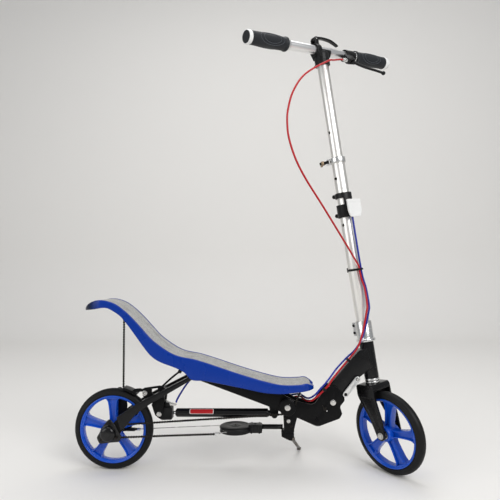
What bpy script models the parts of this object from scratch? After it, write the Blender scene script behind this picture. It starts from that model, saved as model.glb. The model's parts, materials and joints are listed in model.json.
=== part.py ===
# Teeter-board pump scooter: a rocking deck drives the rear wheel through two chains, with a
# lockable gas strut, a folding steering column, a kickstand and a rear brake.
# Lengths in this file are in millimetres and are turned to metres where each mesh is stored.
# Scooter frame: X forward, Y to the left, Z up, rear axle at (0, 0, 100).
import bmesh
import bpy
from math import asin, atan2, cos, degrees, hypot, pi, radians, sin, sqrt, tan
from mathutils import Matrix, Vector

# Overall sizes
METRES = 0.001
GAP = 0.3
LEAN = radians(-3.5)
TYRE_RADIUS = 100.0
TYRE_SECTION = 13.0
RIM_RADIUS = 83.0
RIM_INNER = 76.0
RIM_HALF = 12.0
HUB_HALF = 20.0
HUB_RADIUS = 19.0
AXLE_RADIUS = 4.0
PIN_BORE = AXLE_RADIUS + GAP
WHEEL_STEPS = 36
SHARP = 35
SPOKES = 5
REAR_SPOKE_START = 20.0
FRONT_SPOKE_START = 3.0

# Deck and its rocking joint
DECK_PIVOT = (215.0, 246.0)
DECK_TAIL = -71.0
DECK_NOSE = 501.0
DECK_HALF = 55.0
DECK_WALL = 3.0
DECK_SKIN = 7.5
RECESS = 3.2
RIM_WIDTH = 6.5
DECK_TOP = [(-71, 401.5), (-51, 416), (-22, 424), (12, 417), (37, 401), (62, 378), (87, 351),
            (112, 324.5), (163, 291), (219, 277.5), (328, 242), (383, 226), (423, 217.6),
            (464, 217.6), (483, 219.5), (501, 210.5)]
DECK_LOW = [(-71, 397.5), (-41, 400.5), (-6, 404.7), (12, 397), (34, 381), (62, 345.5), (87, 311),
            (106, 288), (127.5, 273.5), (168, 258), (189, 247), (204, 231), (217, 228),
            (235, 228), (328, 210), (382, 199), (423, 196.4), (463.5, 200), (501, 204)]
DECK_STATIONS = (-36, -20, -4, 10, 24, 38, 52, 66, 80, 94, 108, 124, 142, 164, 190, 210, 235, 280, 328,
                 375, 424)
SPINE_HALF = 19.3
SPINE_THICK = 4.0
SPINE_DROP = 1.5
DECK_AXLE_RADIUS = 5.0
DECK_BORE = DECK_AXLE_RADIUS + GAP

# Frame widths, measured from the middle outwards
PLATE_IN = 20.0
PLATE_OUT = 24.0
LEG_IN = 36.0
LEG_OUT = 48.0
DROPOUT_IN = 38.0
DROPOUT_OUT = 44.0
CHAIN_MID = 31.0
CHAIN_HALF = 2.5
CHAIN_THICK = 6.0
SPROCKET_PITCH = 15.0
GUIDE_AT = (436.0, 162.0)
GUIDE_PITCH = 18.0
DECK_BOLT_FRONT = (469.0, 204.0)
DECK_BOLT_REAR = (17.0, 386.0)
LUG_DROP = 4.5
ROLLER_AT = (3.8, 186.0)
ROLLER_RADIUS = 6.0

# Gas strut
STRUT_REAR = (118.0, 139.0)
STRUT_FRONT = (404.0, 139.0)
ROD_RADIUS = 4.0
CYLINDER_RADIUS = 10.7
CYLINDER_START = 156.5
CYLINDER_END = 388.0
EYE_RADIUS = 8.5
EYE_PIN = 3.6
EYE_BORE = 5.2
RELEASE_PIVOT = (136.0, 160.5)

# Brake, pulley and stand
BRAKE_PIVOT = (83.8, 191.8)
BRAKE_PIN = 3.5
PULLEY_AT = (307.0, 100.0)
HOUSING_RADIUS = 40.0
GROOVE_RADIUS = 31.2
WIRE_RADIUS = 1.2
STAND_PIVOT = (448.0, 23.0, 68.0)
STAND_FOOT = (467.0, 130.0)
STAND_ROD = 4.0
STAND_TOP = 74.8

# Fold joint and steering column
FOLD_PIVOT = (546.5, 170.0)
FOLD_BOLT = 5.0
LATCH_TOP = (606.0, 226.0)
LATCH_LOW = (577.0, 190.0)
HEAD_AT = (662.2, 96.2)
HEAD_ANGLE = radians(7.7)
STEER = radians(-50.5)
TRAIL_OFFSET = 28.0
HEAD_TUBE = (131.0, 220.5)
HEAD_RADIUS = 17.5
HEAD_BORE = 15.0
STEERER_RADIUS = 14.3
LOWER_OUT = 16.5
LOWER_BORE = 14.7
UPPER_OUT = 14.3
UPPER_BORE = 12.3
COLUMN_LOW = 228.6
BUTTON_HEIGHT = 630.0
COLUMN_TOP = BUTTON_HEIGHT + 54.0
HEIGHT_TRAVEL = 118.0
LOCK_HEIGHT = BUTTON_HEIGHT - 61.0
COLLAR_HEIGHT = COLUMN_TOP - 7.5
UPPER_LOW = BUTTON_HEIGHT - 105.0
TIE_HEIGHT = 403.0
BAR_HEIGHT = 962.0
BAR_RADIUS = 11.1
BAR_WALL = 2.0
BAR_NEAR = -233.0
BAR_FAR = 245.0
CABLE_RADIUS = 2.3
COLLAR_ARM = 26.0
COLLAR_ANGLE = radians(217)
QR_PIVOT = (-15.6, BAR_HEIGHT + 28.0)
LEVER_PIVOT = (18.0, 90.0, BAR_HEIGHT - 20.0)
LEVER_WAY = (0.56, -0.83)

# Colours, roughness and metallic of each look
LOOKS = {
    "blue": ((0.01, 0.06, 0.55, 1), 0.28, 0.0),
    "black": ((0.012, 0.012, 0.014, 1), 0.38, 0.0),
    "rubber": ((0.02, 0.022, 0.026, 1), 0.75, 0.0),
    "tyre": ((0.012, 0.012, 0.012, 1), 0.7, 0.0),
    "steel": ((0.62, 0.62, 0.63, 1), 0.25, 1.0),
    "chrome": ((0.8, 0.8, 0.82, 1), 0.1, 1.0),
    "grip": ((0.42, 0.41, 0.37, 1), 0.8, 0.0),
    "chain": ((0.03, 0.028, 0.025, 1), 0.4, 0.8),
    "red": ((0.5, 0.015, 0.02, 1), 0.3, 0.0),
    "navy": ((0.02, 0.04, 0.4, 1), 0.3, 0.0),
    "white": ((0.8, 0.8, 0.8, 1), 0.35, 0.0),
}

for old in list(bpy.data.objects):
    bpy.data.objects.remove(old)


# Bodies: every moving group hangs on an empty whose origin lies on its joint axis
bodies = {}


def body(name, parent, frame, at):
    empty = bpy.data.objects.new(name, None)
    bpy.context.scene.collection.objects.link(empty)
    matrix = frame @ Matrix.Translation(at)
    if parent:
        empty.parent = bodies[parent][0]
        matrix_parent = bodies[parent][1]
        local = matrix_parent.inverted() @ matrix
        local.translation *= METRES
        empty.matrix_local = local
    bodies[name] = (empty, matrix)
    return empty


def look(name, kind):
    colour, rough, metal = LOOKS[kind]
    made = bpy.data.materials.new(name)
    made.use_nodes = True
    shader = made.node_tree.nodes["Principled BSDF"]
    shader.inputs["Base Color"].default_value = colour
    shader.inputs["Roughness"].default_value = rough
    shader.inputs["Metallic"].default_value = metal
    made.diffuse_color = colour
    return made


def store(name, mesh, owner, frame):
    mesh.transform(bodies[owner][1].inverted() @ frame)
    bmesh.ops.scale(mesh, vec=(METRES, METRES, METRES), verts=mesh.verts)
    data = bpy.data.meshes.new(name)
    mesh.to_mesh(data)
    mesh.free()
    made = bpy.data.objects.new(name, data)
    bpy.context.scene.collection.objects.link(made)
    made.parent = bodies[owner][0]
    return made


def node(name, mesh, kind, owner, frame=Matrix(), add=(), cut=(), pins=()):
    made = store(name, mesh, owner, frame)
    made.data.materials.append(look(name, kind))
    stages = (("join", "UNION", add), ("cut", "DIFFERENCE", cut), ("pin", "UNION", pins))
    for stage, operation, meshes in stages:
        for index, other in enumerate(meshes):
            helper = store(f"{name} {stage} {index}", other, owner, frame)
            helper.hide_render = True
            helper.display_type = "WIRE"
            step = made.modifiers.new(f"{stage} {index}", "BOOLEAN")
            step.operation = operation
            step.solver = "EXACT"
            step.object = helper
    made.data.shade_smooth()
    made.data.set_sharp_from_angle(angle=radians(SHARP))
    return made


def tube(name, points, radius, kind, owner, frame=Matrix()):
    turn = bodies[owner][1].inverted() @ frame
    data = bpy.data.curves.new(name, "CURVE")
    data.dimensions = "3D"
    data.bevel_depth = radius * METRES
    data.bevel_resolution = 2
    data.use_fill_caps = True
    line = data.splines.new("POLY")
    line.points.add(len(points) - 1)
    for spot, point in zip(line.points, points):
        spot.co = (*((turn @ Vector(point)) * METRES), 1)
    data.materials.append(look(name, kind))
    made = bpy.data.objects.new(name, data)
    bpy.context.scene.collection.objects.link(made)
    made.parent = bodies[owner][0]
    return made


# Shapes
def closed(mesh):
    bmesh.ops.remove_doubles(mesh, verts=mesh.verts, dist=0.0005)
    bmesh.ops.recalc_face_normals(mesh, faces=mesh.faces)
    return mesh


def prism(outline, start, end, ease=0.0):
    """An outline in X and Z, drawn out along Y."""
    mesh = bmesh.new()
    face = mesh.faces.new([mesh.verts.new((x, start, z)) for x, z in outline])
    made = bmesh.ops.extrude_face_region(mesh, geom=[face])["geom"]
    moved = [item for item in made if isinstance(item, bmesh.types.BMVert)]
    bmesh.ops.translate(mesh, vec=(0, end - start, 0), verts=moved)
    closed(mesh)
    if ease:
        flat = [edge for edge in mesh.edges if abs(edge.verts[0].co.y - edge.verts[1].co.y) < 1e-6]
        bmesh.ops.bevel(mesh, geom=flat, offset=ease, segments=1, affect="EDGES")
    return mesh


def turned(mesh, matrix):
    mesh.transform(matrix)
    return mesh


def plan(outline, start, end, ease=0.0):
    """An outline in X and Y, drawn up along Z."""
    return turned(prism([(x, -y) for x, y in outline], start, end, ease),
                  Matrix.Rotation(radians(90), 4, "X"))


def box(x0, x1, y0, y1, z0, z1, ease=0.0):
    return prism([(x0, z0), (x1, z0), (x1, z1), (x0, z1)], y0, y1, ease)


TURNS = {"X": Matrix.Rotation(radians(90), 4, "Y"), "Y": Matrix.Rotation(radians(-90), 4, "X"),
         "Z": Matrix()}


def lathe(profile, axis="Y", at=(0, 0, 0), steps=20, ring=False):
    """Radius and distance along the axis, spun all the way round."""
    mesh = bmesh.new()
    chain = [mesh.verts.new((radius, 0, along)) for radius, along in profile]
    links = [mesh.edges.new(pair) for pair in zip(chain, chain[1:])]
    if ring:
        links.append(mesh.edges.new((chain[-1], chain[0])))
    bmesh.ops.spin(mesh, geom=chain + links, cent=(0, 0, 0), axis=(0, 0, 1), angle=2 * pi, steps=steps,
                   use_merge=True)
    return turned(closed(mesh), Matrix.Translation(at) @ TURNS[axis])


def rod(radius, start, end, axis="Y", at=(0, 0, 0), steps=12, ease=0.0):
    side = [(radius, start), (radius, end)]
    if ease:
        side = [(radius - ease, start), (radius, start + ease), (radius, end - ease), (radius - ease, end)]
    return lathe([(0, start), *side, (0, end)], axis, at, steps)


def pipe(inner, outer, start, end, axis="Y", at=(0, 0, 0), steps=20, ease=0.0):
    loop = [(inner, start), (outer, start), (outer, end), (inner, end)]
    if ease:
        loop[1:3] = [(outer - ease, start), (outer, start + ease), (outer, end - ease), (outer - ease, end)]
    return lathe(loop, axis, at, steps, ring=True)


def arc(centre, radius, start, end, count):
    angles = [radians(start + (end - start) * i / (count - 1)) for i in range(count)]
    return [(centre[0] + radius * cos(a), centre[1] + radius * sin(a)) for a in angles]


def rounded(outline, radii, count=2):
    """The outline with each corner turned into an arc of its own radius."""
    made = []
    for i, corner in enumerate(outline):
        radius = radii if isinstance(radii, (int, float)) else radii[i]
        before = Vector(outline[i - 1]) - Vector(corner)
        after = Vector(outline[(i + 1) % len(outline)]) - Vector(corner)
        if radius < 0.05:
            made.append(tuple(corner))
            continue
        half = before.angle(after) / 2
        reach = min(radius / tan(half), 0.48 * before.length, 0.48 * after.length)
        first = Vector(corner) + before.normalized() * reach
        last = Vector(corner) + after.normalized() * reach
        for k in range(count + 1):
            t = k / count
            blend = first * (1 - t) ** 2 + Vector(corner) * 2 * t * (1 - t) + last * t ** 2
            made.append(tuple(blend))
    return made


def band(path, thick, start, end):
    """A flat strip along a path in X and Z."""
    left, right = [], []
    for i, point in enumerate(path):
        here = Vector(point)
        ahead = Vector(path[min(i + 1, len(path) - 1)]) - Vector(path[max(i - 1, 0)])
        side = Vector((-ahead.y, ahead.x)).normalized() * thick / 2
        left.append(tuple(here + side))
        right.append(tuple(here - side))
    return prism(left + right[::-1], start, end)


def loft(sections):
    """Loops of the same number of points, each drawn out of the one before."""
    mesh = bmesh.new()
    loop = [mesh.verts.new(point) for point in sections[0]]
    edges = [mesh.edges.new(pair) for pair in zip(loop, loop[1:] + loop[:1])]
    mesh.faces.new(loop)
    for section in sections[1:]:
        made = bmesh.ops.extrude_edge_only(mesh, edges=edges)["geom"]
        fresh = {tuple(item.co): item for item in made if isinstance(item, bmesh.types.BMVert)}
        loop = [fresh[tuple(vert.co)] for vert in loop]
        edges = [mesh.edges.get(pair) for pair in zip(loop, loop[1:] + loop[:1])]
        for vert, point in zip(loop, section):
            vert.co = point
    mesh.faces.new(loop)
    return closed(mesh)


def at_x(points, x):
    """Height at x on a smooth curve through the points."""
    last = len(points) - 1
    i = max(k for k in range(last) if k == 0 or points[k][0] <= x)
    before, low, high, after = points[max(i - 1, 0)], points[i], points[i + 1], points[min(i + 2, last)]
    span = high[0] - low[0]
    slope_low = (high[1] - before[1]) / (high[0] - before[0])
    slope_high = (after[1] - low[1]) / (after[0] - low[0])
    t = (x - low[0]) / span
    return ((2 * t ** 3 - 3 * t ** 2 + 1) * low[1] + (t ** 3 - 2 * t ** 2 + t) * span * slope_low
            + (3 * t ** 2 - 2 * t ** 3) * high[1] + (t ** 3 - t ** 2) * span * slope_high)


def through(points, per=6):
    """A smooth curve through points in space."""
    made = []
    spots = [Vector(p) for p in points]
    for i in range(len(spots) - 1):
        before = spots[max(i - 1, 0)]
        low, high = spots[i], spots[i + 1]
        after = spots[min(i + 2, len(spots) - 1)]
        for k in range(per):
            t = k / per
            bend = 2 * before - 5 * low + 4 * high - after
            twist = 3 * low - before - 3 * high + after
            made.append(0.5 * (2 * low + (high - before) * t + bend * t ** 2 + twist * t ** 3))
    made.append(spots[-1])
    return made


# Frames
SCOOTER = Matrix()
TILT = Matrix.Rotation(-HEAD_ANGLE, 4, "Y")
LEANED = Matrix.Rotation(LEAN, 4, "X")


def head_frame(height):
    return Matrix.Translation((HEAD_AT[0], 0, height)) @ TILT


def tyre(axis_at, phase=0.0):
    inner = RIM_RADIUS + GAP
    middle = TYRE_RADIUS - TYRE_SECTION
    crown = [(middle + TYRE_SECTION * cos(a), TYRE_SECTION * sin(a))
             for a in (radians(-96 + 32 * k) for k in range(7))]
    mesh = lathe([(inner, -RIM_HALF + 1), *crown, (inner, RIM_HALF - 1)], steps=WHEEL_STEPS, ring=True)
    return turned(mesh, Matrix.Translation(axis_at) @ Matrix.Rotation(phase, 4, "Y"))


# The steered front wheel stands on the same floor as the rear one, so its lowest point sets the head
rolled = LEANED @ head_frame(HEAD_AT[1]) @ Matrix.Rotation(STEER, 4, "Z")
down = rolled.to_3x3().inverted() @ Vector((0, 0, -1))
FRONT_PHASE = atan2(-down.z, down.x)
trial = turned(tyre((TRAIL_OFFSET, 0, 0), FRONT_PHASE), rolled)
FRONT_DROP = min(vert.co.z for vert in trial.verts)
trial.free()
collar_turn = Matrix.Rotation(COLLAR_ANGLE, 4, "Z")
HEAD = head_frame(HEAD_AT[1] - FRONT_DROP / cos(LEAN))
STEERED = HEAD @ Matrix.Rotation(STEER, 4, "Z")

body("scooter", None, SCOOTER, (0, 0, 0))
body("rear_wheel", "scooter", SCOOTER, (0, 0, 100))
body("right_sprocket_hub", "scooter", SCOOTER, (0, -CHAIN_MID, 100))
body("left_sprocket_hub", "scooter", SCOOTER, (0, CHAIN_MID, 100))
body("guide_hub", "scooter", SCOOTER, (GUIDE_AT[0], -CHAIN_MID, GUIDE_AT[1]))
body("pulley_hub", "scooter", SCOOTER, (PULLEY_AT[0], 0, PULLEY_AT[1]))
body("deck", "scooter", SCOOTER, (DECK_PIVOT[0], 0, DECK_PIVOT[1]))
body("strut", "scooter", SCOOTER, (STRUT_REAR[0], 0, STRUT_REAR[1]))
body("strut_slide", "strut", SCOOTER, (CYLINDER_START, 0, STRUT_REAR[1]))
body("release", "strut", SCOOTER, (RELEASE_PIVOT[0], 0, RELEASE_PIVOT[1]))
body("brake", "scooter", SCOOTER, (BRAKE_PIVOT[0], 0, BRAKE_PIVOT[1]))
body("stand", "scooter", SCOOTER, STAND_PIVOT)
body("fold", "scooter", SCOOTER, (FOLD_PIVOT[0], 0, FOLD_PIVOT[1]))
body("latch", "fold", SCOOTER, (LATCH_TOP[0], -PLATE_OUT, LATCH_TOP[1]))
body("steering", "fold", STEERED, (0, 0, HEAD_TUBE[0]))
body("front_wheel", "steering", STEERED, (TRAIL_OFFSET, 0, 0))
body("lock", "steering", STEERED, (25, 0, LOCK_HEIGHT))
body("collar", "steering", STEERED, collar_turn @ Vector((COLLAR_ARM, 0, COLLAR_HEIGHT)))
body("button", "steering", STEERED, (0, -LOWER_OUT, BUTTON_HEIGHT))
body("height", "steering", STEERED, (0, 0, COLUMN_TOP))
body("quick", "height", STEERED, (0, QR_PIVOT[0], QR_PIVOT[1]))
body("lever", "height", STEERED, LEVER_PIVOT)


# Wheels
def rim(centre, start):
    ring = lathe([(RIM_INNER, -RIM_HALF + 1.5), (RIM_RADIUS, -RIM_HALF), (RIM_RADIUS, RIM_HALF),
                  (RIM_INNER, RIM_HALF - 1.5)], steps=WHEEL_STEPS, ring=True)
    hub = lathe([(PIN_BORE, -HUB_HALF), (HUB_RADIUS - 4, -HUB_HALF), (HUB_RADIUS, -HUB_HALF + 6),
                 (HUB_RADIUS, HUB_HALF - 6), (HUB_RADIUS - 4, HUB_HALF), (PIN_BORE, HUB_HALF)],
                steps=16, ring=True)
    arms = []
    pockets = []
    for k in range(SPOKES):
        turn = Matrix.Rotation(-radians(start + 360 * k / SPOKES), 4, "Y")
        outline = [(15.5, -8), (RIM_INNER + 2, -12), (RIM_INNER + 2, 12), (15.5, 8)]
        arms.append(turned(prism(outline, -9.5, 9.5), turn))
        for side in (-1, 1):
            hollow = [(26, -4.5), (RIM_INNER - 5, -8.5), (RIM_INNER - 5, 8.5), (26, 4.5)]
            low, high = sorted((side * 3.0, side * 14.0))
            pockets.append(turned(prism(hollow, low, high), turn))
    move = Matrix.Translation(centre)
    arms = [turned(part, move) for part in (hub, *arms)]
    return turned(ring, move), arms, [turned(pocket, move) for pocket in pockets]


ring, added, taken = rim((0, 0, 100), REAR_SPOKE_START)
node("rear_rim", ring, "blue", "rear_wheel", add=added, cut=taken)
node("rear_tyre", tyre((0, 0, 100)), "tyre", "rear_wheel")
ring, added, taken = rim((TRAIL_OFFSET, 0, 0), FRONT_SPOKE_START)
node("front_rim", ring, "blue", "front_wheel", STEERED, added, taken)
node("front_tyre", tyre((TRAIL_OFFSET, 0, 0), FRONT_PHASE), "tyre", "front_wheel", STEERED)

# Rear frame: two stays, the bridge between them, the brake bracket and the strut's rear clevis
stay_outline = rounded([(200, 226), (230, 240), (224, 262), (193, 233.5), (90.5, 182.5), (56.5, 163.5),
                        (20, 139), (30, 106), (44.8, 119.5), (67, 146), (101.7, 170)],
                       [6, 9, 12, 30, 30, 20, 4, 4, 14, 20, 30], 1)
dropout_outline = arc((0, 100), 22, 70, 330, 10) + [(44.8, 119.5), (56, 133), (34, 147)]


def stay(side):
    low, high = sorted((side * LEG_IN, side * LEG_OUT))
    return prism(stay_outline, low, high, 1.5)


def dropout(side):
    low, high = sorted((side * DROPOUT_IN, side * DROPOUT_OUT))
    return prism(dropout_outline, low, high)


bracket_outline = rounded([(134, 184), (134, 203), (128, 208.5), (120, 210), (82, 204.5), (75, 200),
                           (78, 186), (86, 172), (104, 172), (110, 184)], 3, 1)
lug_outline = rounded([(134, 184), (134, 197), (119, 197), (112, 183), (104, 176), (92, 176), (91, 193),
                       (87, 197), (80, 197), (76, 192), (78, 178), (88, 167), (106, 167)], 3, 1)
opening = [(101, 190), (101, 202), (116, 204), (116, 196), (112, 190)]
BRACKET_IN = 18.0
BRACKET_OUT = 21.5
CLEVIS_IN = 13.0
CLEVIS_OUT = 17.0
clevis_outline = rounded([(119, 195), (134, 195), (131, 172), (127, 139), (118, 129.5), (108, 136),
                          (99, 162), (106, 176)], 4, 1)
added = [dropout(1), stay(-1), dropout(-1), box(119, 134, -LEG_IN - 2, LEG_IN + 2, 184, 197)]
taken = []
for side in (-1, 1):
    low, high = sorted((side * BRACKET_IN, side * BRACKET_OUT))
    added.append(prism(bracket_outline if side < 0 else lug_outline, low, high))
    low, high = sorted((side * CLEVIS_IN, side * CLEVIS_OUT))
    added.append(prism(clevis_outline, low, high))
added.append(rod(BRAKE_PIN, -BRACKET_OUT - 2, BRACKET_OUT + 2, at=(BRAKE_PIVOT[0], 0, BRAKE_PIVOT[1])))
added.append(rod(6.5, -BRACKET_OUT - 3.5, -BRACKET_OUT + 1, at=(BRAKE_PIVOT[0], 0, BRAKE_PIVOT[1]),
                 steps=12))
added.append(rod(ROD_RADIUS, -CLEVIS_OUT - 1, CLEVIS_OUT + 1, at=(STRUT_REAR[0], 0, STRUT_REAR[1])))
added.append(rod(6, -CLEVIS_OUT - 4, -CLEVIS_OUT + 1, at=(STRUT_REAR[0], 0, STRUT_REAR[1]), steps=12))
taken.append(rod(DECK_BORE, -60, 60, at=(DECK_PIVOT[0], 0, DECK_PIVOT[1])))
taken.append(rod(PIN_BORE, -60, 60, at=(0, 0, 100)))
taken.append(prism(opening, -BRACKET_OUT - 1, -BRACKET_IN + 1))
node("rear_frame", stay(1), "black", "scooter", add=added, cut=taken)

node("rear_axle", lathe([(0, -50), (6.5, -50), (6.5, -LEG_OUT + 4 - GAP), (AXLE_RADIUS, -LEG_OUT + 4 - GAP),
                         (AXLE_RADIUS, LEG_OUT - 4 + GAP), (6.5, LEG_OUT - 4 + GAP), (6.5, 50), (0, 50)],
                        at=(0, 0, 100), steps=12), "steel", "scooter")
node("deck_axle", lathe([(0, -51), (8, -51), (8, -LEG_OUT - GAP), (DECK_AXLE_RADIUS, -LEG_OUT - GAP),
                         (DECK_AXLE_RADIUS, LEG_OUT + GAP), (8, LEG_OUT + GAP), (8, 51), (0, 51)],
                        at=(DECK_PIVOT[0], 0, DECK_PIVOT[1]), steps=14), "steel", "scooter")

# Hub covers: a three-bolt flange with a hollow dome over the axle nut
HUB_BOLTS = [(2.7, 123.6), (-17, 86), (21, 91.5)]
flange_outline = rounded([(2.7, 137), (-11, 121), (-29, 90), (-22, 75), (2, 78), (27, 80), (33, 92),
                          (18, 118)], 7, 1)


def hub_cover(name, side):
    start = side * (DROPOUT_OUT + GAP)
    end = side * 48
    dome = [(0, side * 60.5), (12, side * 59.5), (16.5, side * 57.5), (18.5, side * 54), (18.5, start),
            (9.5, start),
            (9.5, side * 54), (0, side * 55)]
    bolts = [rod(4, *sorted((side * 46, side * 50.5)), at=(x, 0, z), steps=6) for x, z in HUB_BOLTS]
    node(name, lathe(dome, at=(0, 0, 100), steps=16), "black", "scooter",
         add=[prism(flange_outline, *sorted((start, end))), *bolts],
         cut=[rod(8.8, *sorted((side * 40, side * 50)), at=(0, 0, 100))])


hub_cover("hub_cover_right", -1)
hub_cover("hub_cover_left", 1)
GUARD = (22.3, 25.3)
guard_outline = rounded([(-17, 94), (-8, 80), (10, 80), (17, 94), (27, 150), (22, 190), (8, 197),
                         (-6, 190), (-17, 150)], 8)
node("chain_guide", prism(guard_outline, *GUARD), "black", "scooter",
     add=[lathe([(0, GUARD[0] + 1), (ROLLER_RADIUS, GUARD[0] + 1),
                 (ROLLER_RADIUS, CHAIN_MID + CHAIN_HALF + GAP),
                 (ROLLER_RADIUS + 3, CHAIN_MID + CHAIN_HALF + GAP), (ROLLER_RADIUS + 3, LEG_IN - 0.5),
                 (0, LEG_IN - 0.5)], at=(ROLLER_AT[0], 0, ROLLER_AT[1]), steps=16)],
     cut=[rod(PIN_BORE, 10, 40, at=(0, 0, 100))])

# Side plates from the deck axle to the fold joint, rising under the deck as its rest stop
deck_ceiling = [(x, at_x(DECK_TOP, x) - DECK_SKIN) for x in (240, 290, 340, 398, 412)]
STOP_DROP = 5.0
plate_outline = rounded(
    [(204, 240), (212, 226), (229, 220), (387.6, 161), (418, 148), (428, 138), (462, 132), (508, 111.5),
     (562, 131.5), (568, 143), (563, 160), (575, 175), (573, 187), (552, 211), (530, 206), (500, 163.5),
     (456, 173), (424, 190), (deck_ceiling[4][0], deck_ceiling[4][1] - GAP),
     (deck_ceiling[3][0], deck_ceiling[3][1] - GAP), (388, deck_ceiling[3][1] - STOP_DROP),
     (deck_ceiling[2][0], deck_ceiling[2][1] - STOP_DROP),
     (deck_ceiling[1][0], deck_ceiling[1][1] - STOP_DROP),
     (deck_ceiling[0][0], deck_ceiling[0][1] - STOP_DROP), (216, 258), (204, 252)],
    [9, 9, 12, 30, 14, 8, 12, 20, 8, 6, 8, 8, 8, 12, 14, 18, 30, 8, 0, 0, 4, 0, 0, 0, 9, 8])


def side_plate(name, side, extra=()):
    low, high = sorted((side * PLATE_IN, side * PLATE_OUT))
    node(name, prism(plate_outline, low, high), "black", "scooter", add=extra,
         cut=[rod(DECK_BORE, low - 2, high + 2, at=(DECK_PIVOT[0], 0, DECK_PIVOT[1])),
              rod(FOLD_BOLT + GAP, low - 2, high + 2, at=(FOLD_PIVOT[0], 0, FOLD_PIVOT[1])),
              rod(2.2, low - 2, high + 2, at=(507, 0, 132), steps=12)])


FOLD_CLIP = (526, -26.8, 201.5)
clip = turned(pipe(2.7, 4.6, -3.5, 3.5, "X", steps=12), Matrix.Translation(FOLD_CLIP) @
              Matrix.Rotation(radians(-45), 4, "Y"))
side_plate("side_plate_right", -1,
           [rod(4.5, -PLATE_OUT - 2.5, -PLATE_OUT + 1, at=(526.7, 0, 154.6), steps=6), clip])
side_plate("side_plate_left", 1)
BRACKET_HALF = PLATE_IN - GAP
front_block = rounded([(425, 150), (458, 150), (461, 140), (450, 97), (427, 97)], 3)
foot_block = rounded([(420, 99), (450, 99), (449, 83), (446, STAND_TOP), (440, STAND_TOP), (420.5, 84)], 2)
node("front_bracket", prism(front_block, -BRACKET_HALF, BRACKET_HALF), "black", "scooter",
     add=[prism(foot_block, -13, 13), box(438, 452, 10, 31, STAND_TOP, 86),
          rod(3.5, -BRACKET_HALF - 1.5, -BRACKET_HALF + 1, at=(438, 0, 124), steps=6),
          rod(3, -BRACKET_HALF - 1.5, -BRACKET_HALF + 1, at=(445, 0, 112), steps=6)],
     cut=[box(400, 446, -BRACKET_HALF + 5, BRACKET_HALF - 5, 113, 160)])
node("guide_cover", rod(20, -45, -36, at=(GUIDE_AT[0], 0, GUIDE_AT[1]), steps=20, ease=1.2), "black",
     "scooter",
     add=[rod(AXLE_RADIUS, -40, -PLATE_OUT - GAP, at=(GUIDE_AT[0], 0, GUIDE_AT[1])),
          rod(5, -48.5, -40, at=(GUIDE_AT[0], 0, GUIDE_AT[1]), steps=6)])
node("guide_wheel", pipe(PIN_BORE, GUIDE_PITCH - CHAIN_THICK / 2 - GAP, -CHAIN_MID - 3, -CHAIN_MID + 3,
                         at=(GUIDE_AT[0], 0, GUIDE_AT[1])), "steel", "guide_hub")

# Chains with their sprockets; each run is a strip until the looks are made
SPROCKET = SPROCKET_PITCH - CHAIN_THICK / 2 - GAP
for name, side in (("right_sprocket", -1), ("left_sprocket", 1)):
    node(name, pipe(PIN_BORE, SPROCKET, side * CHAIN_MID - 3, side * CHAIN_MID + 3, at=(0, 0, 100),
                    steps=12),
         "steel", f"{name}_hub")


def chain(name, path, side, owner, add=()):
    node(name, band(path, CHAIN_THICK, side * CHAIN_MID - CHAIN_HALF, side * CHAIN_MID + CHAIN_HALF),
         "chain", owner,
         add=add)


lean_run = degrees(asin((GUIDE_PITCH + SPROCKET_PITCH) / hypot(GUIDE_AT[0], GUIDE_AT[1] - 100)))
run_angle = degrees(atan2(GUIDE_AT[1] - 100, GUIDE_AT[0])) - lean_run
CLIP_AT = (262.0, 95.4)
chain("right_chain", arc(GUIDE_AT, GUIDE_PITCH, 2, run_angle - 90, 7)
      + arc((0, 100), SPROCKET_PITCH, 90 + run_angle, 272, 11) + [(150, 91.2), CLIP_AT], -1, "scooter")
chain("front_chain", [(DECK_BOLT_FRONT[0] - 1.5, DECK_BOLT_FRONT[1] - LUG_DROP - GAP - 1.2),
                      (GUIDE_AT[0] + GUIDE_PITCH + 0.4, 166)],
      -1, "deck")
chain("left_chain", [(14, 190), (14, 186.5)] + arc((0, 100), SPROCKET_PITCH, 161, 270, 7) + [(24, 86.8)],
      1, "scooter",
      [box(22.8, 45, CHAIN_MID - 4.5, CHAIN_MID + 4.5, 83.5, 92.5),
       rod(3.6, 44, 59.7 - GAP, "X", at=(0, CHAIN_MID, 88.6), steps=12)])
chain("left_chain_rise", [(DECK_BOLT_REAR[0] - 1, DECK_BOLT_REAR[1] - 5), (14.3, 194)], 1, "deck")
WIRE_Z = PULLEY_AT[1]
half_turn = [(PULLEY_AT[0] + (GROOVE_RADIUS + WIRE_RADIUS + GAP) * cos(a),
              (GROOVE_RADIUS + WIRE_RADIUS + GAP) * sin(a), WIRE_Z) for a in
             (radians(-90 + 15 * k) for k in range(13))]
tube("return_cable", [(CLIP_AT[0] + 1, -CHAIN_MID, CLIP_AT[1] + 0.2), (278, -CHAIN_MID, 99.3),
                      (290, -CHAIN_MID - 1, WIRE_Z),
                      *half_turn, (170, CHAIN_MID, 94.5), (60, CHAIN_MID, 89)], WIRE_RADIUS, "steel",
                      "scooter")
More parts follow.
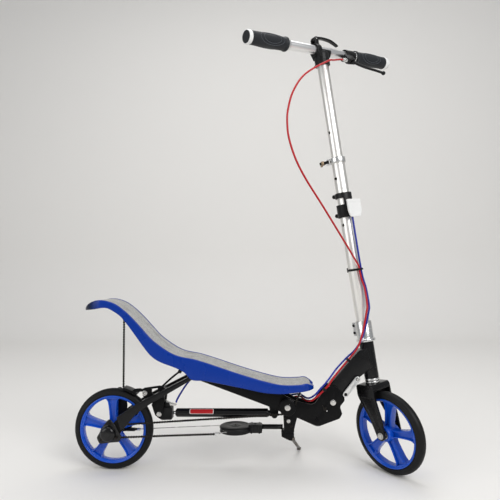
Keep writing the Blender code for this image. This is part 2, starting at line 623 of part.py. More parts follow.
# Cable pulley in its housing, and the tension rod to the front bracket
px, pz = PULLEY_AT
node("pulley_housing", lathe([(0, 93), (HOUSING_RADIUS - 2, 93), (HOUSING_RADIUS, 95), (HOUSING_RADIUS, 105),
                              (HOUSING_RADIUS - 3, 108), (24, 109), (0, 109)], "Z", (px, 0, 0), 20), "black",
     "scooter", add=[box(px + 34, 373, -14, 14, 92, 112),
                     rod(6, 370, 426 - GAP - 1.7, "X", at=(0, 0, 105), steps=16)],
     cut=[pipe(AXLE_RADIUS, HOUSING_RADIUS - 4, 96.5, 104, "Z", (px, 0, 0), 20),
          box(px - HOUSING_RADIUS - 4, px, -HOUSING_RADIUS + 4, HOUSING_RADIUS - 4, 96.6, 103.9),
          box(px - HOUSING_RADIUS - 4, px - 18, -30, 30, 96.4, 104.1)])
node("cable_pulley", lathe([(PIN_BORE, 97), (GROOVE_RADIUS + 2, 97), (GROOVE_RADIUS + 2, 98.4),
                            (GROOVE_RADIUS, 98.4), (GROOVE_RADIUS, 101.6), (GROOVE_RADIUS + 2, 101.6),
                            (GROOVE_RADIUS + 2, 103.5), (PIN_BORE, 103.5)], "Z", (px, 0, 0), 18, ring=True),
     "steel", "pulley_hub")


# Deck: a moulded shell with a raised rim, a grip surface and a steel spine underneath
def half_width(x, inset):
    tail, nose, wide = DECK_TAIL + inset, DECK_NOSE - inset, DECK_HALF - inset
    tail_round, nose_round = wide, 38 - inset
    if x < tail + tail_round:
        return wide * sqrt(max(1 - ((tail + tail_round - x) / tail_round) ** 2, 0))
    if x > nose - nose_round:
        return wide - nose_round + nose_round * sqrt(max(1 - ((x - nose + nose_round) / nose_round) ** 2, 0))
    return wide


def stations(start, end):
    tail = [start + d for d in (0, 2.5, 7, 14, 23)]
    nose = [end - d for d in (26, 15, 8, 3, 0)]
    middle = [x for x in DECK_STATIONS if tail[-1] + 5 < x < nose[0] - 5]
    return tail + middle + nose


def deck_section(x):
    wide = half_width(x, 0)
    top, low = at_x(DECK_TOP, x), at_x(DECK_LOW, x)
    ease = min(3.0, 0.4 * (top - low))
    return [(x, y, z) for y, z in ((wide, low + ease / 2), (wide, top - ease), (wide - ease, top),
                                   (ease - wide, top),
                                   (-wide, top - ease), (-wide, low + ease / 2), (ease / 2 - wide, low),
                                   (wide - ease / 2, low))]


def slab(start, end, inset, low, high):
    """A piece that follows the deck's top between two heights below or above it."""
    return loft([[(x, y, at_x(DECK_TOP, x) + z) for y,
                  z in ((half_width(x, inset), low), (half_width(x, inset), high),
                                                              (-half_width(x, inset), high),
                                                              (-half_width(x, inset), low))]
                 for x in stations(start, end)])


hollow = loft([[(x, y, z) for y, z in ((half_width(x, DECK_WALL), at_x(DECK_LOW, x) - 12),
                                       (half_width(x, DECK_WALL), at_x(DECK_TOP, x) - DECK_SKIN),
                                       (-half_width(x, DECK_WALL), at_x(DECK_TOP, x) - DECK_SKIN),
                                       (-half_width(x, DECK_WALL), at_x(DECK_LOW, x) - 12))]
               for x in stations(-50, 495)])
node("deck_shell", loft([deck_section(x) for x in stations(DECK_TAIL + 0.7, DECK_NOSE - 0.5)]), "blue",
     "deck",
     cut=[hollow, slab(DECK_TAIL + RIM_WIDTH + 1, DECK_NOSE - RIM_WIDTH - 1, RIM_WIDTH, -RECESS, 12)])
node("grip_mat", slab(DECK_TAIL + RIM_WIDTH + 2, DECK_NOSE - RIM_WIDTH - 2, RIM_WIDTH + 0.8,
                      -RECESS + GAP, -0.8),
     "grip", "deck")


def spine_section(x):
    high = at_x(DECK_TOP, x) - DECK_SKIN - SPINE_DROP
    return [(x, -SPINE_HALF, high - SPINE_THICK), (x, -SPINE_HALF, high), (x, SPINE_HALF, high),
            (x, SPINE_HALF, high - SPINE_THICK)]


LUG_IN = 13.5
LUG_OUT = SPINE_HALF
spine_x = [x for x in stations(DECK_TAIL + 0.7, DECK_NOSE - 0.5) if 6 < x < 480]
under = at_x(DECK_TOP, 404) - DECK_SKIN - SPINE_THICK
axle_lug = rounded([(197, at_x(DECK_TOP, 197) - 10.5), (203, 244), (209, 234), (221, 234), (227, 244),
                    (233, at_x(DECK_TOP, 233) - 10.5)], [0, 5, 6, 6, 5, 0])
strut_lug = rounded([(378, under + 6), (396, 136), (400, 130.5), (408, 130.5), (412, 136), (424, under - 3)],
                    [0, 4, 4, 4, 4, 0])
added = []
for side in (-1, 1):
    low, high = sorted((side * LUG_IN, side * LUG_OUT))
    added += [prism(axle_lug, low, high), prism(strut_lug, low, high)]
added.append(rod(EYE_PIN, -LUG_OUT + 1, LUG_OUT - 1, at=(STRUT_FRONT[0], 0, STRUT_FRONT[1]), steps=20))
rear_high = at_x(DECK_TOP, DECK_BOLT_REAR[0] + 6) - DECK_SKIN + 2
nose_high = at_x(DECK_TOP, DECK_BOLT_FRONT[0]) - DECK_SKIN
added += [box(11, 23, 15, CHAIN_MID + 6, rear_high - 6, rear_high - 2.6),
          box(12, 22, CHAIN_MID - 4, CHAIN_MID + 4, DECK_BOLT_REAR[1] - LUG_DROP, rear_high - 4),
          box(461, 475, -CHAIN_MID - 6, -15, nose_high - 5, nose_high - SPINE_DROP),
          box(464, 474, -CHAIN_MID - 4, -CHAIN_MID + 4, DECK_BOLT_FRONT[1] - LUG_DROP, nose_high - 3)]
node("deck_frame", loft([spine_section(x) for x in spine_x]), "black", "deck", add=added,
     cut=[rod(DECK_BORE, -30, 30, at=(DECK_PIVOT[0], 0, DECK_PIVOT[1]))])

# Gas strut: rod with its release head, the small release lever, and the cylinder that slides on the rod
sz = STRUT_REAR[1]
head_outline = rounded([(110.5, 131), (110.5, 147), (123, 154), (149, 154), (149, 124), (124, 123)],
                       [5, 5, 3, 3, 3, 4])
EAR_IN = 4.6
EAR_OUT = 7.5
head_add = [rod(ROD_RADIUS, 145, 330, "X", at=(0, 0, sz), steps=20)]
ear = rounded([(128, 150), (144, 150), (141, 165), (131, 165)], 3)
head_add += [prism(ear, *sorted((side * EAR_IN, side * EAR_OUT))) for side in (-1, 1)]
head_add.append(rod(1.8, -EAR_OUT + 0.5, EAR_OUT - 0.5, at=(RELEASE_PIVOT[0], 0, RELEASE_PIVOT[1]),
                    steps=12))
node("gas_rod", prism(head_outline, -12, 12, 1.0), "black", "strut", add=head_add,
     cut=[rod(PIN_BORE, -20, 20, at=(STRUT_REAR[0], 0, sz))])
lever_outline = rounded([(126, 169), (131, 156.6), (140, 156.2), (158, 156.6), (159, 160), (141, 165),
                         (131, 171)],
                        [2, 3, 3, 1, 1, 6, 2])
node("release_lever", prism(lever_outline, -EAR_IN + GAP, EAR_IN - GAP), "black", "release",
     cut=[rod(1.8 + GAP, -10, 10, at=(RELEASE_PIVOT[0], 0, RELEASE_PIVOT[1]), steps=12)])
cylinder = lathe([(0, CYLINDER_END), (CYLINDER_RADIUS - 2, CYLINDER_END),
                  (CYLINDER_RADIUS, CYLINDER_END - 3),
                  (CYLINDER_RADIUS, CYLINDER_START + 3), (9.5, CYLINDER_START + 2), (7.5, CYLINDER_START),
                  (ROD_RADIUS + GAP, CYLINDER_START), (ROD_RADIUS + GAP, 340), (0, 340)], "X", (0, 0, sz),
                  20)
node("gas_cylinder", cylinder, "black", "strut_slide",
     add=[rod(6.5, CYLINDER_END - 2, STRUT_FRONT[0] - 4, "X", at=(0, 0, sz), steps=20),
          rod(EYE_RADIUS, -LUG_IN + 0.8, LUG_IN - 0.8, at=(STRUT_FRONT[0], 0, sz), steps=16)],
     cut=[rod(EYE_BORE, -20, 20, at=(STRUT_FRONT[0], 0, sz))])

# Brake arm with its shoe over the tyre
SHOE_GAP = 1.2
SHOE_THICK = 5.8
ARM_HUB = 7.5
ARM_WIDTH = 5.0
shoe = (arc((0, 100), TYRE_RADIUS + SHOE_GAP, 76, 55, 7)
        + arc((0, 100), TYRE_RADIUS + SHOE_GAP + SHOE_THICK, 55, 76, 7))
link_shape = ([(45, 192.5), (50, 199.5), (62, 198.5), (75, 202)] + arc(BRAKE_PIVOT, ARM_HUB, 70, -130, 10)
              + [(75.8, 194.5), (62, 193.2), (54, 187.5)])
node("brake_arm", prism(shoe, -BRACKET_IN + 1.5, BRACKET_IN - 1.5), "black", "brake",
     add=[prism(link_shape, -BRACKET_IN + 1.5, -BRACKET_IN + 1.5 + ARM_WIDTH)],
     cut=[rod(BRAKE_PIN + GAP, -30, 30, at=(BRAKE_PIVOT[0], 0, BRAKE_PIVOT[1]))])

# Kickstand: the foot lies flat on the floor, so it is set in the leaned frame
to_floor = LEANED.inverted()
foot_rest = LEANED @ Vector((*STAND_FOOT, 0))
foot_low = to_floor @ Vector((foot_rest.x, foot_rest.y, 0))
foot_mid = to_floor @ Vector((foot_rest.x, foot_rest.y, 4.5))
lift = LEANED.inverted().to_3x3().to_4x4()
foot = turned(rod(8, 0, 7, "Z", steps=16), Matrix.Translation(foot_low) @ lift)
top = Vector(STAND_PIVOT)
leg_way = (foot_mid - top)
leg_turn = leg_way.to_track_quat("Z", "Y").to_matrix().to_4x4()
leg = turned(rod(STAND_ROD, 4, leg_way.length, "Z", steps=12), Matrix.Translation(top) @ leg_turn)
stand_axis = leg_way.cross(Vector((-1, 0, 0))).normalized()
STAND_TURN = stand_axis.to_track_quat("Z", "Y").to_matrix().to_4x4()
knuckle = turned(rod(6, -4.0, 4.0, "Z", steps=14), Matrix.Translation(top) @ STAND_TURN)
node("kickstand_leg", leg, "steel", "stand", add=[foot, knuckle])


# Folding part: head tube, down tube, fold bolt and the latch link at its side
hx, hz = FOLD_PIVOT
node("head_tube", pipe(HEAD_BORE, HEAD_RADIUS, *HEAD_TUBE, "Z", steps=20), "black", "fold", HEAD)
node("headset_ring", pipe(HEAD_BORE, HEAD_RADIUS + 0.8, 119.2, HEAD_TUBE[0] - GAP, "Z", steps=20),
     "steel", "fold",
     HEAD)
DOWN_HALF = PLATE_IN - 0.5
TUBE_CLIP = (585.9, -14.0, 270.8)
down_outline = ([(632, 301), (613, 294), (589, 268), (542, 214), (533, 200)]
                + arc(FOLD_PIVOT, 14, 170, 320, 6) + [(611, 228), (625, 239), (645, 254)])
head_clear = turned(rod(HEAD_RADIUS + GAP, 100, 260, "Z", steps=20), HEAD)
ring_turn = Matrix.Translation(TUBE_CLIP) @ Matrix.Rotation(radians(-48), 4, "Y")
node("down_tube", prism(down_outline, -DOWN_HALF, DOWN_HALF, 1.5), "black", "fold",
     add=[rod(3, -30, -DOWN_HALF + 1, at=(LATCH_TOP[0], 0, LATCH_TOP[1]), steps=12),
          rod(5.5, -PLATE_OUT - GAP, -DOWN_HALF + 1, at=(LATCH_TOP[0], 0, LATCH_TOP[1]), steps=12),
          turned(pipe(2.7, 5.0, -3, 3, "X", steps=12), ring_turn)],
     cut=[head_clear, rod(FOLD_BOLT + GAP, -30, 30, at=(hx, 0, hz))])
node("fold_bolt", lathe([(0, -28.5), (5, -28.5), (8, -27), (8, -PLATE_OUT - GAP),
                         (FOLD_BOLT, -PLATE_OUT - GAP),
                         (FOLD_BOLT, PLATE_OUT + GAP), (8, PLATE_OUT + GAP), (8, 27), (5, 28.5), (0, 28.5)],
                        at=(hx, 0, hz), steps=14), "steel", "scooter")
link_way = (Vector(LATCH_LOW) - Vector(LATCH_TOP))
link_angle = degrees(atan2(link_way.y, link_way.x))
LINK_HALF = 7.0
link_outline = (arc(LATCH_TOP, LINK_HALF, link_angle + 90, link_angle + 270, 7)
                + arc(LATCH_LOW, LINK_HALF, link_angle - 90, link_angle + 90, 7))
node("latch_link", prism(link_outline, -28, -25), "steel", "latch",
     cut=[rod(3.3, -32, -20, at=(spot[0], 0, spot[1]), steps=12) for spot in (LATCH_TOP, LATCH_LOW)])

# Fork with its steerer, and the front axle with spacers
fork_outline = ([(-26, 118.6), (22, 118.6), (26, 112), (27, 90), (37, 40)] + arc((TRAIL_OFFSET, 0), 12,
                                                                                 20, -160, 7)
                + [(2, 38), (-18, 74), (-26, 92)])
CROWN_LOW = 104.0
FORK_IN = 27.0
FORK_OUT = 32.0
node("fork", prism(fork_outline, -FORK_OUT, FORK_OUT), "black", "steering", STEERED,
     add=[rod(STEERER_RADIUS, 110, 268, "Z", steps=20)],
     cut=[box(-60, 60, -FORK_IN, FORK_IN, -40, CROWN_LOW),
          rod(PIN_BORE, -40, 40, at=(TRAIL_OFFSET, 0, 0), steps=10)])
half = [(HUB_HALF + GAP, AXLE_RADIUS), (HUB_HALF + GAP, 7), (FORK_IN - GAP, 7), (FORK_IN - GAP, AXLE_RADIUS),
        (FORK_OUT + GAP, AXLE_RADIUS), (FORK_OUT + GAP, 8), (36.5, 8), (36.5, 0)]
node("front_axle", lathe([(radius, -along) for along, radius in reversed(half)]
                         + [(radius, along) for along, radius in half], at=(TRAIL_OFFSET, 0, 0), steps=12),
     "steel", "steering", STEERED)

# Column: lower tube, its collars and the lock clamp
HOLE = 3.6
column_holes = [rod(HOLE, -30, -8, at=(0, 0, z), steps=12)
                for z in (BUTTON_HEIGHT, BUTTON_HEIGHT - HEIGHT_TRAVEL)]
node("lower_column", pipe(LOWER_BORE, LOWER_OUT, COLUMN_LOW, COLUMN_TOP, "Z", steps=20), "chrome",
     "steering", STEERED,
     cut=column_holes)
node("clamp_collar", lathe([(STEERER_RADIUS + GAP, 220.9), (23.5, 220.9), (23.5, 227), (20, 229.5),
                            (20, 271),
                            (LOWER_OUT + GAP, 271), (LOWER_OUT + GAP, 228.2), (STEERER_RADIUS + GAP, 228.2)],
                           "Z", steps=20, ring=True), "steel", "steering", STEERED,
     add=[box(-31, -18, -8, 8, 234, 268), rod(3.5, -10, 10, at=(-26, 0, 242), steps=8),
          rod(3.5, -10, 10, at=(-26, 0, 260), steps=8)],
     cut=[box(-40, -23, -1.5, 1.5, 200, 290)])
TIE_RED = (21.5, -7.5)
TIE_BLUE = (21.5, -1.0)
tie = STEERED @ Matrix.Translation((0, 0, TIE_HEIGHT))
node("zip_tie", pipe(LOWER_OUT + GAP, LOWER_OUT + 1.9, -7, -1.5, "Z"), "black", "steering", tie,
     add=[box(-23.5, -17.3, -4, 4, -9.5, 2.5), box(17.2, 25.5, -11.5, 3, -6.5, -2)],
     cut=[rod(2.6, -20, 20, "Z", at=(*TIE_RED, 0), steps=12),
          rod(2.6, -20, 20, "Z", at=(*TIE_BLUE, 0), steps=12)])
lock_at = STEERED @ Matrix.Translation((0, 0, LOCK_HEIGHT))
lock_ear = [(18.5, -3.6), *arc((25, 0), 3.6, -88, 88, 6), (18.5, 3.6)]
node("lock_clamp", pipe(LOWER_OUT + GAP, 21, -38, 24, "Z", steps=20), "black", "steering", lock_at,
     add=[prism(lock_ear, -10.5, -7.5), prism(lock_ear, 7.5, 10.5), rod(2, -9, 9, at=(25, 0, 0)),
          rod(4.2, -38, -29, "Z", at=(22.5, -4.9, 0)),
          rod(4, -12, 12, at=(-22.5, 0, 19), steps=8), rod(4, -12, 12, at=(-22.5, 0, -30), steps=8)],
     cut=[box(-40, 14, -40, 40, -6, 11)])
cover = plan(rounded([(-24, -25), (-19, -41), (16, -41), (22, -25), (22, 3), (-24, 3)],
                     [10, 10, 10, 10, 2, 2]), 0, 4)
face_front = Matrix(((0, 0, 1, 29.4), (1, 0, 0, 0), (0, 1, 0, 0), (0, 0, 0, 1)))
node("lock_lever", turned(cover, face_front), "white", "lock", lock_at,
     add=[box(24, 30.5, -7, 7, -3, 3), rod(3.8, -7, 7, at=(25, 0, 0))],
     cut=[rod(2.3, -20, 20, at=(25, 0, 0), steps=12)])
collar_at = STEERED @ Matrix.Translation((0, 0, COLLAR_HEIGHT))
turned_collar = collar_at @ collar_turn
collar_half = 7.0
node("height_collar", pipe(LOWER_OUT + GAP, 19.5, -collar_half, collar_half, "Z", steps=20), "steel",
     "steering", collar_at,
     add=[turned(box(18, 30, -4.5, 4.5, -collar_half, -4), collar_turn),
          turned(box(18, 30, -4.5, 4.5, 4, collar_half), collar_turn),
          turned(rod(2, -5.5, 5.5, "Z", at=(COLLAR_ARM, 0, 0), steps=12), collar_turn)])
lever_shape = rounded([(21.8, -4), (30, -4), (46, -3), (46, 3), (30, 4), (21.8, 4)], [3, 2, 2, 2, 2, 3])
node("collar_lever", plan(lever_shape, -3.6, 3.6), "black", "collar", turned_collar,
     cut=[rod(2.3, -15, 15, "Z", at=(COLLAR_ARM, 0, 0), steps=12)])
node("snap_button", rod(HOLE - GAP, -19.5, -UPPER_OUT - 0.7, at=(0, 0, BUTTON_HEIGHT), steps=12),
     "steel",
     "button", STEERED)

# Upper tube, stem clamp and bar
UNDER_BAR = 14.0
node("upper_column", pipe(UPPER_BORE, UPPER_OUT, UPPER_LOW, BAR_HEIGHT - UNDER_BAR, "Z", steps=20), "chrome",
     "height", STEERED,
     cut=[rod(HOLE, -30, -8, at=(0, 0, z), steps=12)
          for z in (BUTTON_HEIGHT, BUTTON_HEIGHT + HEIGHT_TRAVEL)])
EAR = 5.0
bar_at = STEERED @ Matrix.Translation((0, 0, BAR_HEIGHT))
qr_height = QR_PIVOT[1] - BAR_HEIGHT
to_side = Matrix.Rotation(radians(90), 4, "Z")
saddle = rounded([(-23, -1), (23.5, -1), (23.5, -8), (15, -23), (-15, -23), (-23, -8)], [1, 1, 3, 4, 4, 3])
stem_add = [turned(prism(saddle, -14.5, 14.5), to_side), rod(15.5, -24, -8, steps=20),
            rod(3, -9, 9, at=(-19.5, 0, -16), steps=8), rod(3, -9, 9, at=(-19.5, 0, -34), steps=8),
            rod(2, -8, 8, "X", at=(0, QR_PIVOT[0], qr_height), steps=12)]
stem_add += [box(*sorted((side * EAR, side * (EAR + 3.5))), -22, -9.5, 7, qr_height + 5) for side in (-1, 1)]
node("stem_clamp", rod(19, -40, -5, "Z", steps=20), "black", "height", bar_at, add=stem_add,
     cut=[rod(UPPER_OUT + GAP, -60, GAP - UNDER_BAR, "Z", steps=20),
          rod(BAR_RADIUS + GAP, -40, 40, steps=20)])
node("handlebar", pipe(BAR_RADIUS - BAR_WALL, BAR_RADIUS, BAR_NEAR, BAR_FAR, at=(0, 0, BAR_HEIGHT)),
     "chrome", "height", STEERED)
GRIP_BORE = BAR_RADIUS + GAP


def grip(name, side, inner, outer, end):
    """Its wide inner flange, the held part, the end ring and the closed cap."""
    wall = [(GRIP_BORE, side * inner), (17.5, side * inner), (17.5, side * (inner + 6)),
            (15.8, side * (inner + 10)),
            (15.8, side * (outer - 16)), (16.4, side * (outer - 10)), (16.4, side * (outer - 3)),
            (14.5, side * outer), (0, side * outer), (0, side * (end + 0.4)),
            (GRIP_BORE, side * (end + 0.4))]
    turn = wall[9:] + wall[:9]
    node(name, lathe(turn, at=(0, 0, BAR_HEIGHT), steps=16), "rubber", "height", STEERED)


grip("grip_right", -1, 118, 237, -BAR_NEAR)
grip("grip_left", 1, 124.5, 260, BAR_FAR)
lx, ly, lz = LEVER_PIVOT
ux, uz = LEVER_WAY
size = hypot(ux, uz)
ux, uz = ux / size, uz / size
LEVER = STEERED @ Matrix(((ux, 0, -uz, lx), (0, 1, 0, ly), (uz, 0, ux, lz), (0, 0, 0, 1)))
to_lever = LEVER.inverted() @ STEERED
LEVER_HALF = 4.0
BARREL_AT = 4.0
EAR_REACH = 7.5
body_top = rounded([(-14, -20), (9, -20), (9, -9), (7, 6), (-3, 9), (-14, 12)], [0, 3, 2, 5, 5, 0])
at_bar = to_lever @ Matrix.Translation((0, ly, BAR_HEIGHT))
node("brake_lever_body", turned(rod(15.5, -5, 28, steps=16), at_bar), "black", "height", LEVER,
     add=[plan(body_top, -EAR_REACH, EAR_REACH),
          lathe([(0, -34), (3, -34), (3, -27), (4.2, -27), (4.2, -18.5), (0, -18.5)],
                at=(BARREL_AT, 0, 0), steps=12)],
     cut=[plan([(-6, -8.5), (20, -8.5), (40, 30), (-6, 30)], -LEVER_HALF - GAP, LEVER_HALF + GAP),
          turned(rod(GRIP_BORE + 0.5, -40, 40, steps=16), at_bar)],
     pins=[rod(2, -EAR_REACH - 1, EAR_REACH + 1, "Z", steps=12)])
lever_path = [(0, 0), (13, 15), (23, 36), (28, 58), (32, 78), (38, 97)]
blade = band([(y, u) for u, y in lever_path], 8.5, -LEVER_HALF + 1, LEVER_HALF - 1)
to_plan = Matrix(((0, 0, 1, 0), (1, 0, 0, 0), (0, 1, 0, 0), (0, 0, 0, 1)))
node("brake_lever", turned(blade, to_plan), "black", "lever", LEVER,
     add=[rod(6, -LEVER_HALF, LEVER_HALF, "Z"), rod(5.5, -LEVER_HALF, LEVER_HALF, "Z", at=(38, 98, 0))],
     cut=[rod(2.3, -20, 20, "Z", steps=12)])

QR_HALF = EAR - GAP
qr_top = [(-16, 6.5), (0, 8.5), (20, 9), (40, 7), (54, 2), (66, -5)]
qr_low = [(65, -8.5), (52, -3), (38, 1.5), (20, 3.5), (2, 2.5), (-10, -5)]
node("stem_lever", turned(prism(qr_top + qr_low + [(-15.6, -6.5), (-21, -4), (-22, 3)], -QR_HALF, QR_HALF),
                          to_side), "black", "quick", STEERED @ Matrix.Translation((0, 0, QR_PIVOT[1])),
     cut=[rod(2.3, -20, 20, "X", at=(0, QR_PIVOT[0], 0))])


# Cables along their real routes
def steered(point):
    return STEERED @ Vector(point)


# The loop's heights are shares of the way from the cable tie up to the bar
free_loop = [(60, -126.5, 0.824), (65, -178, 0.739), (65, -203.5, 0.656), (62, -209.5, 0.594),
             (60, -208, 0.536), (55, -192.5, 0.459), (50, -166, 0.381), (42, -119.7, 0.275),
             (30, -54, 0.121)]
upper = through([(lx + BARREL_AT * ux, 55.2, lz + BARREL_AT * uz), (24.2, 40, BAR_HEIGHT - 27),
                 (34, 5, BAR_HEIGHT - 37.5), (45, -30, BAR_HEIGHT - 49.5),
                 *[(x, y, TIE_HEIGHT + share * (BAR_HEIGHT - TIE_HEIGHT)) for x, y, share in free_loop],
                 (23.5, -17, TIE_HEIGHT + 17), (21.6, -8.4, TIE_HEIGHT + 5), (*TIE_RED, TIE_HEIGHT),
                 (*TIE_RED, TIE_HEIGHT - 2.4)], 3)
tube("brake_cable_upper", upper, CABLE_RADIUS, "red", "height", STEERED)
FOLD_PATH = [(604, -27, 297), (594, -17, 281), TUBE_CLIP, (561.9, -16, 243.6), (547, -22, 226.5),
             (536, -26.2, 211.8)]
middle = through([steered((*TIE_RED, TIE_HEIGHT - 4.4)), steered((*TIE_RED, TIE_HEIGHT - 8.5)),
                  steered((22.6, -6.4, TIE_HEIGHT - 29.2)), steered((24.9, -2.8, TIE_HEIGHT - 54)),
                  (633, -28, 404), (630, -32, 388),
                  (622, -35.5, 351), (613, -34, 318), *FOLD_PATH, FOLD_CLIP,
                  (521.5, -26.8, 197)], 2)
tube("brake_cable_mid", middle, CABLE_RADIUS, "red", "fold")
rear = through([(520.8, -26.8, 196.3), (507, -26.8, 184), (494, -20, 173.5), (484, -6, 170),
                (476, 10, 172), (466, 27.4, 173.5), (430, 27.4, 170), (395, 27.4, 186),
                (340, 27.4, 205), (280, 27.4, 224), (240, 27.4, 232),
                (215, 27.4, 233.5), (200, 25, 238), (173, 10, 242), (150, -3, 228), (123, -8, 204.2)], 3)
tube("brake_cable_rear", rear, CABLE_RADIUS, "red", "scooter")
blue = through([steered((24, -4.9, LOCK_HEIGHT - 38.6)), steered((24, -4.9, LOCK_HEIGHT - 69)),
                steered((23.5, -4.0, TIE_HEIGHT + 37)), steered((*TIE_BLUE, TIE_HEIGHT + 1)),
                steered((*TIE_BLUE, TIE_HEIGHT - 9)), steered((22.2, 0.1, TIE_HEIGHT - 27.8)),
                steered((23.1, 4.5, TIE_HEIGHT - 54.6)),
                (638.5, -22, 404), (636, -26.5, 388), (627, -30, 351), (616, -28.5, 320), (605, -20.5, 300),
                (595, -10, 286), (585, -8, 277), (560, -8.5, 251), (543, -19, 232), (528, -26.8, 215.5),
                (517.5, -26.8, 205)], 2)
tube("lock_cable_mid", blue, CABLE_RADIUS, "navy", "fold")
lock_rear = through([(516.9, -26.8, 204.2), (504, -26.8, 190), (492, -18, 180), (483, -3, 176.5),
                     (475, 14, 178), (466, 33, 178), (430, 33, 176), (395, 33, 192), (340, 33, 209),
                     (280, 33, 226), (240, 33, 233),
                     (215, 33, 233), (200, 29, 226), (184, 15, 209), (171, 4, 190), (160, 0, 171),
                     (158, 0, 164)], 2)
tube("lock_cable_rear", lock_rear, CABLE_RADIUS, "navy", "scooter")

# The whole scooter leans on its stand and stands with its middle over the origin
root = bodies["scooter"][0]
root.rotation_euler.x = LEAN
bpy.context.view_layer.update()
graph = bpy.context.evaluated_depsgraph_get()
corners = []
for made in bpy.context.view_layer.objects:
    if made.type in ("MESH", "CURVE") and not made.hide_render:
        evaluated = made.evaluated_get(graph)
        mesh = evaluated.to_mesh()
        corners += [evaluated.matrix_world @ vert.co for vert in mesh.vertices]
        evaluated.to_mesh_clear()
lowest = [min(corner[axis] for corner in corners) for axis in range(3)]
highest = [max(corner[axis] for corner in corners) for axis in range(3)]
root.location = (-(lowest[0] + highest[0]) / 2, -(lowest[1] + highest[1]) / 2, -lowest[2])
bpy.context.view_layer.update()
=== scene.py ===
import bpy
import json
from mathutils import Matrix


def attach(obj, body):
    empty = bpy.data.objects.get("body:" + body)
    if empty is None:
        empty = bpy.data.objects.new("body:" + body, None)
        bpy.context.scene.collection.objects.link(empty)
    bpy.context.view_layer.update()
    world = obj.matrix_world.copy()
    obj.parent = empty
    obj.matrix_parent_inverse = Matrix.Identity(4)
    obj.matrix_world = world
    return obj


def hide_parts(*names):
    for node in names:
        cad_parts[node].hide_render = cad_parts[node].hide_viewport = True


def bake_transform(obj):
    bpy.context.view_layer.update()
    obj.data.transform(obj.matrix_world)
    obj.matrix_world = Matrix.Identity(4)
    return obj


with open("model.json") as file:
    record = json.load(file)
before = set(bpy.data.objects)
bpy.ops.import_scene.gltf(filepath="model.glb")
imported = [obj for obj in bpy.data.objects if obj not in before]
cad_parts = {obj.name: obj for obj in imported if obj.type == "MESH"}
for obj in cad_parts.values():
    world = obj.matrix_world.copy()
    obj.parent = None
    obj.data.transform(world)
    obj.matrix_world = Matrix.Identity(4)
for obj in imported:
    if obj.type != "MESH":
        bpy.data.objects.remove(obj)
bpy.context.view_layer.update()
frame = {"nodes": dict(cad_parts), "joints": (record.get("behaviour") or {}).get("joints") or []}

import json
from math import asin, atan2, cos, degrees, hypot, pi, radians, sin, sqrt, tan

import bmesh
import bpy
from mathutils import Matrix, Vector

# Pieces are drawn in millimetres in the scooter's own frames, then placed in metres
mm = 0.001
jointAt = {joint["name"]: (Vector(joint["pos_m"]), Vector(joint["axis"])) for joint in frame["joints"]
    if joint["type"] == "hinge"}


def linked(name, data):
    thing = bpy.data.objects.new(name, data)
    bpy.context.scene.collection.objects.link(thing)
    return thing


def fill(node, values):
    for socket, value in values.items():
        node.inputs[socket].default_value = value
    return node


def moved(place):
    return Matrix.Translation(place)


def turned(angle, axis):
    return Matrix.Rotation(radians(angle), 4, axis)


def frameFrom(along, across, up, origin):
    turn = Matrix((along, across, up)).transposed().to_4x4()
    return moved(origin) @ turn @ Matrix.Scale(mm, 4)


axlePoint, axleWay = jointAt["rear_wheel_spin"]
upWay = Vector((1, 0, 0)).cross(axleWay)
scooterFrame = frameFrom(Vector((1, 0, 0)), axleWay, upWay, axlePoint - upWay * 0.1)
steerPoint, steerWay = jointAt["steering_turn"]
barWay = jointAt["front_wheel_spin"][1]
steerFrame = frameFrom(barWay.cross(steerWay), barWay, steerWay, steerPoint - steerWay * 0.131)
headFrame = steerFrame @ turned(50.5, "Z")
leverOut = Vector((0.56, 0, -0.83)).normalized()
leverFrame = steerFrame @ Matrix(((leverOut.x, 0, -leverOut.z, 18), (0, 1, 0, 90), (leverOut.z, 0, leverOut.x, 942),
    (0, 0, 0, 1)))
print("frames ready")

# Camera at the photograph's viewing angle
cameraSettings = {"place": (0.0953, -1.3521, 0.5617), "yaw": 3.09, "pitch": -0.79, "roll": 0.84, "lens": 38.03}
cameraData = bpy.data.cameras.new("camera")
cameraData.sensor_width = 36
cameraData.lens = cameraSettings["lens"]
camera = linked("camera", cameraData)
looking = (turned(cameraSettings["yaw"], "Z") @ turned(cameraSettings["pitch"], "X")
    @ turned(cameraSettings["roll"], "Y") @ turned(90, "X"))
camera.matrix_world = moved(cameraSettings["place"]) @ looking
bpy.context.scene.camera = camera
bpy.context.scene.view_settings.view_transform = "Standard"

# Soft studio light: three large lamps and an even sky
studio = {"sky": 0.36, "floorColour": (0.79, 0.775, 0.75, 1), "bend": 0.5}
lamps = [
    {"name": "windowLamp", "place": (1.5, -1.9, 1.9), "size": 1.5, "power": 46},
    {"name": "leftLamp", "place": (-2.1, -1.6, 1.3), "size": 1.8, "power": 22},
    {"name": "topLamp", "place": (0.0, 0.3, 2.6), "size": 1.8, "power": 26},
]
for lamp in lamps:
    lampData = bpy.data.lights.new(lamp["name"], "AREA")
    lampData.shape = "SQUARE"
    lampData.size = lamp["size"]
    lampData.energy = lamp["power"]
    lampObject = linked(lamp["name"], lampData)
    aim = Vector((0, 0, 0.4)) - Vector(lamp["place"])
    lampObject.matrix_world = moved(lamp["place"]) @ aim.to_track_quat("-Z", "Y").to_matrix().to_4x4()

sky = bpy.data.worlds.new("sky")
bpy.context.scene.world = sky
sky.use_nodes = True
fill(sky.node_tree.nodes["Background"], {"Color": (0.95, 0.97, 1.0, 1), "Strength": studio["sky"]})

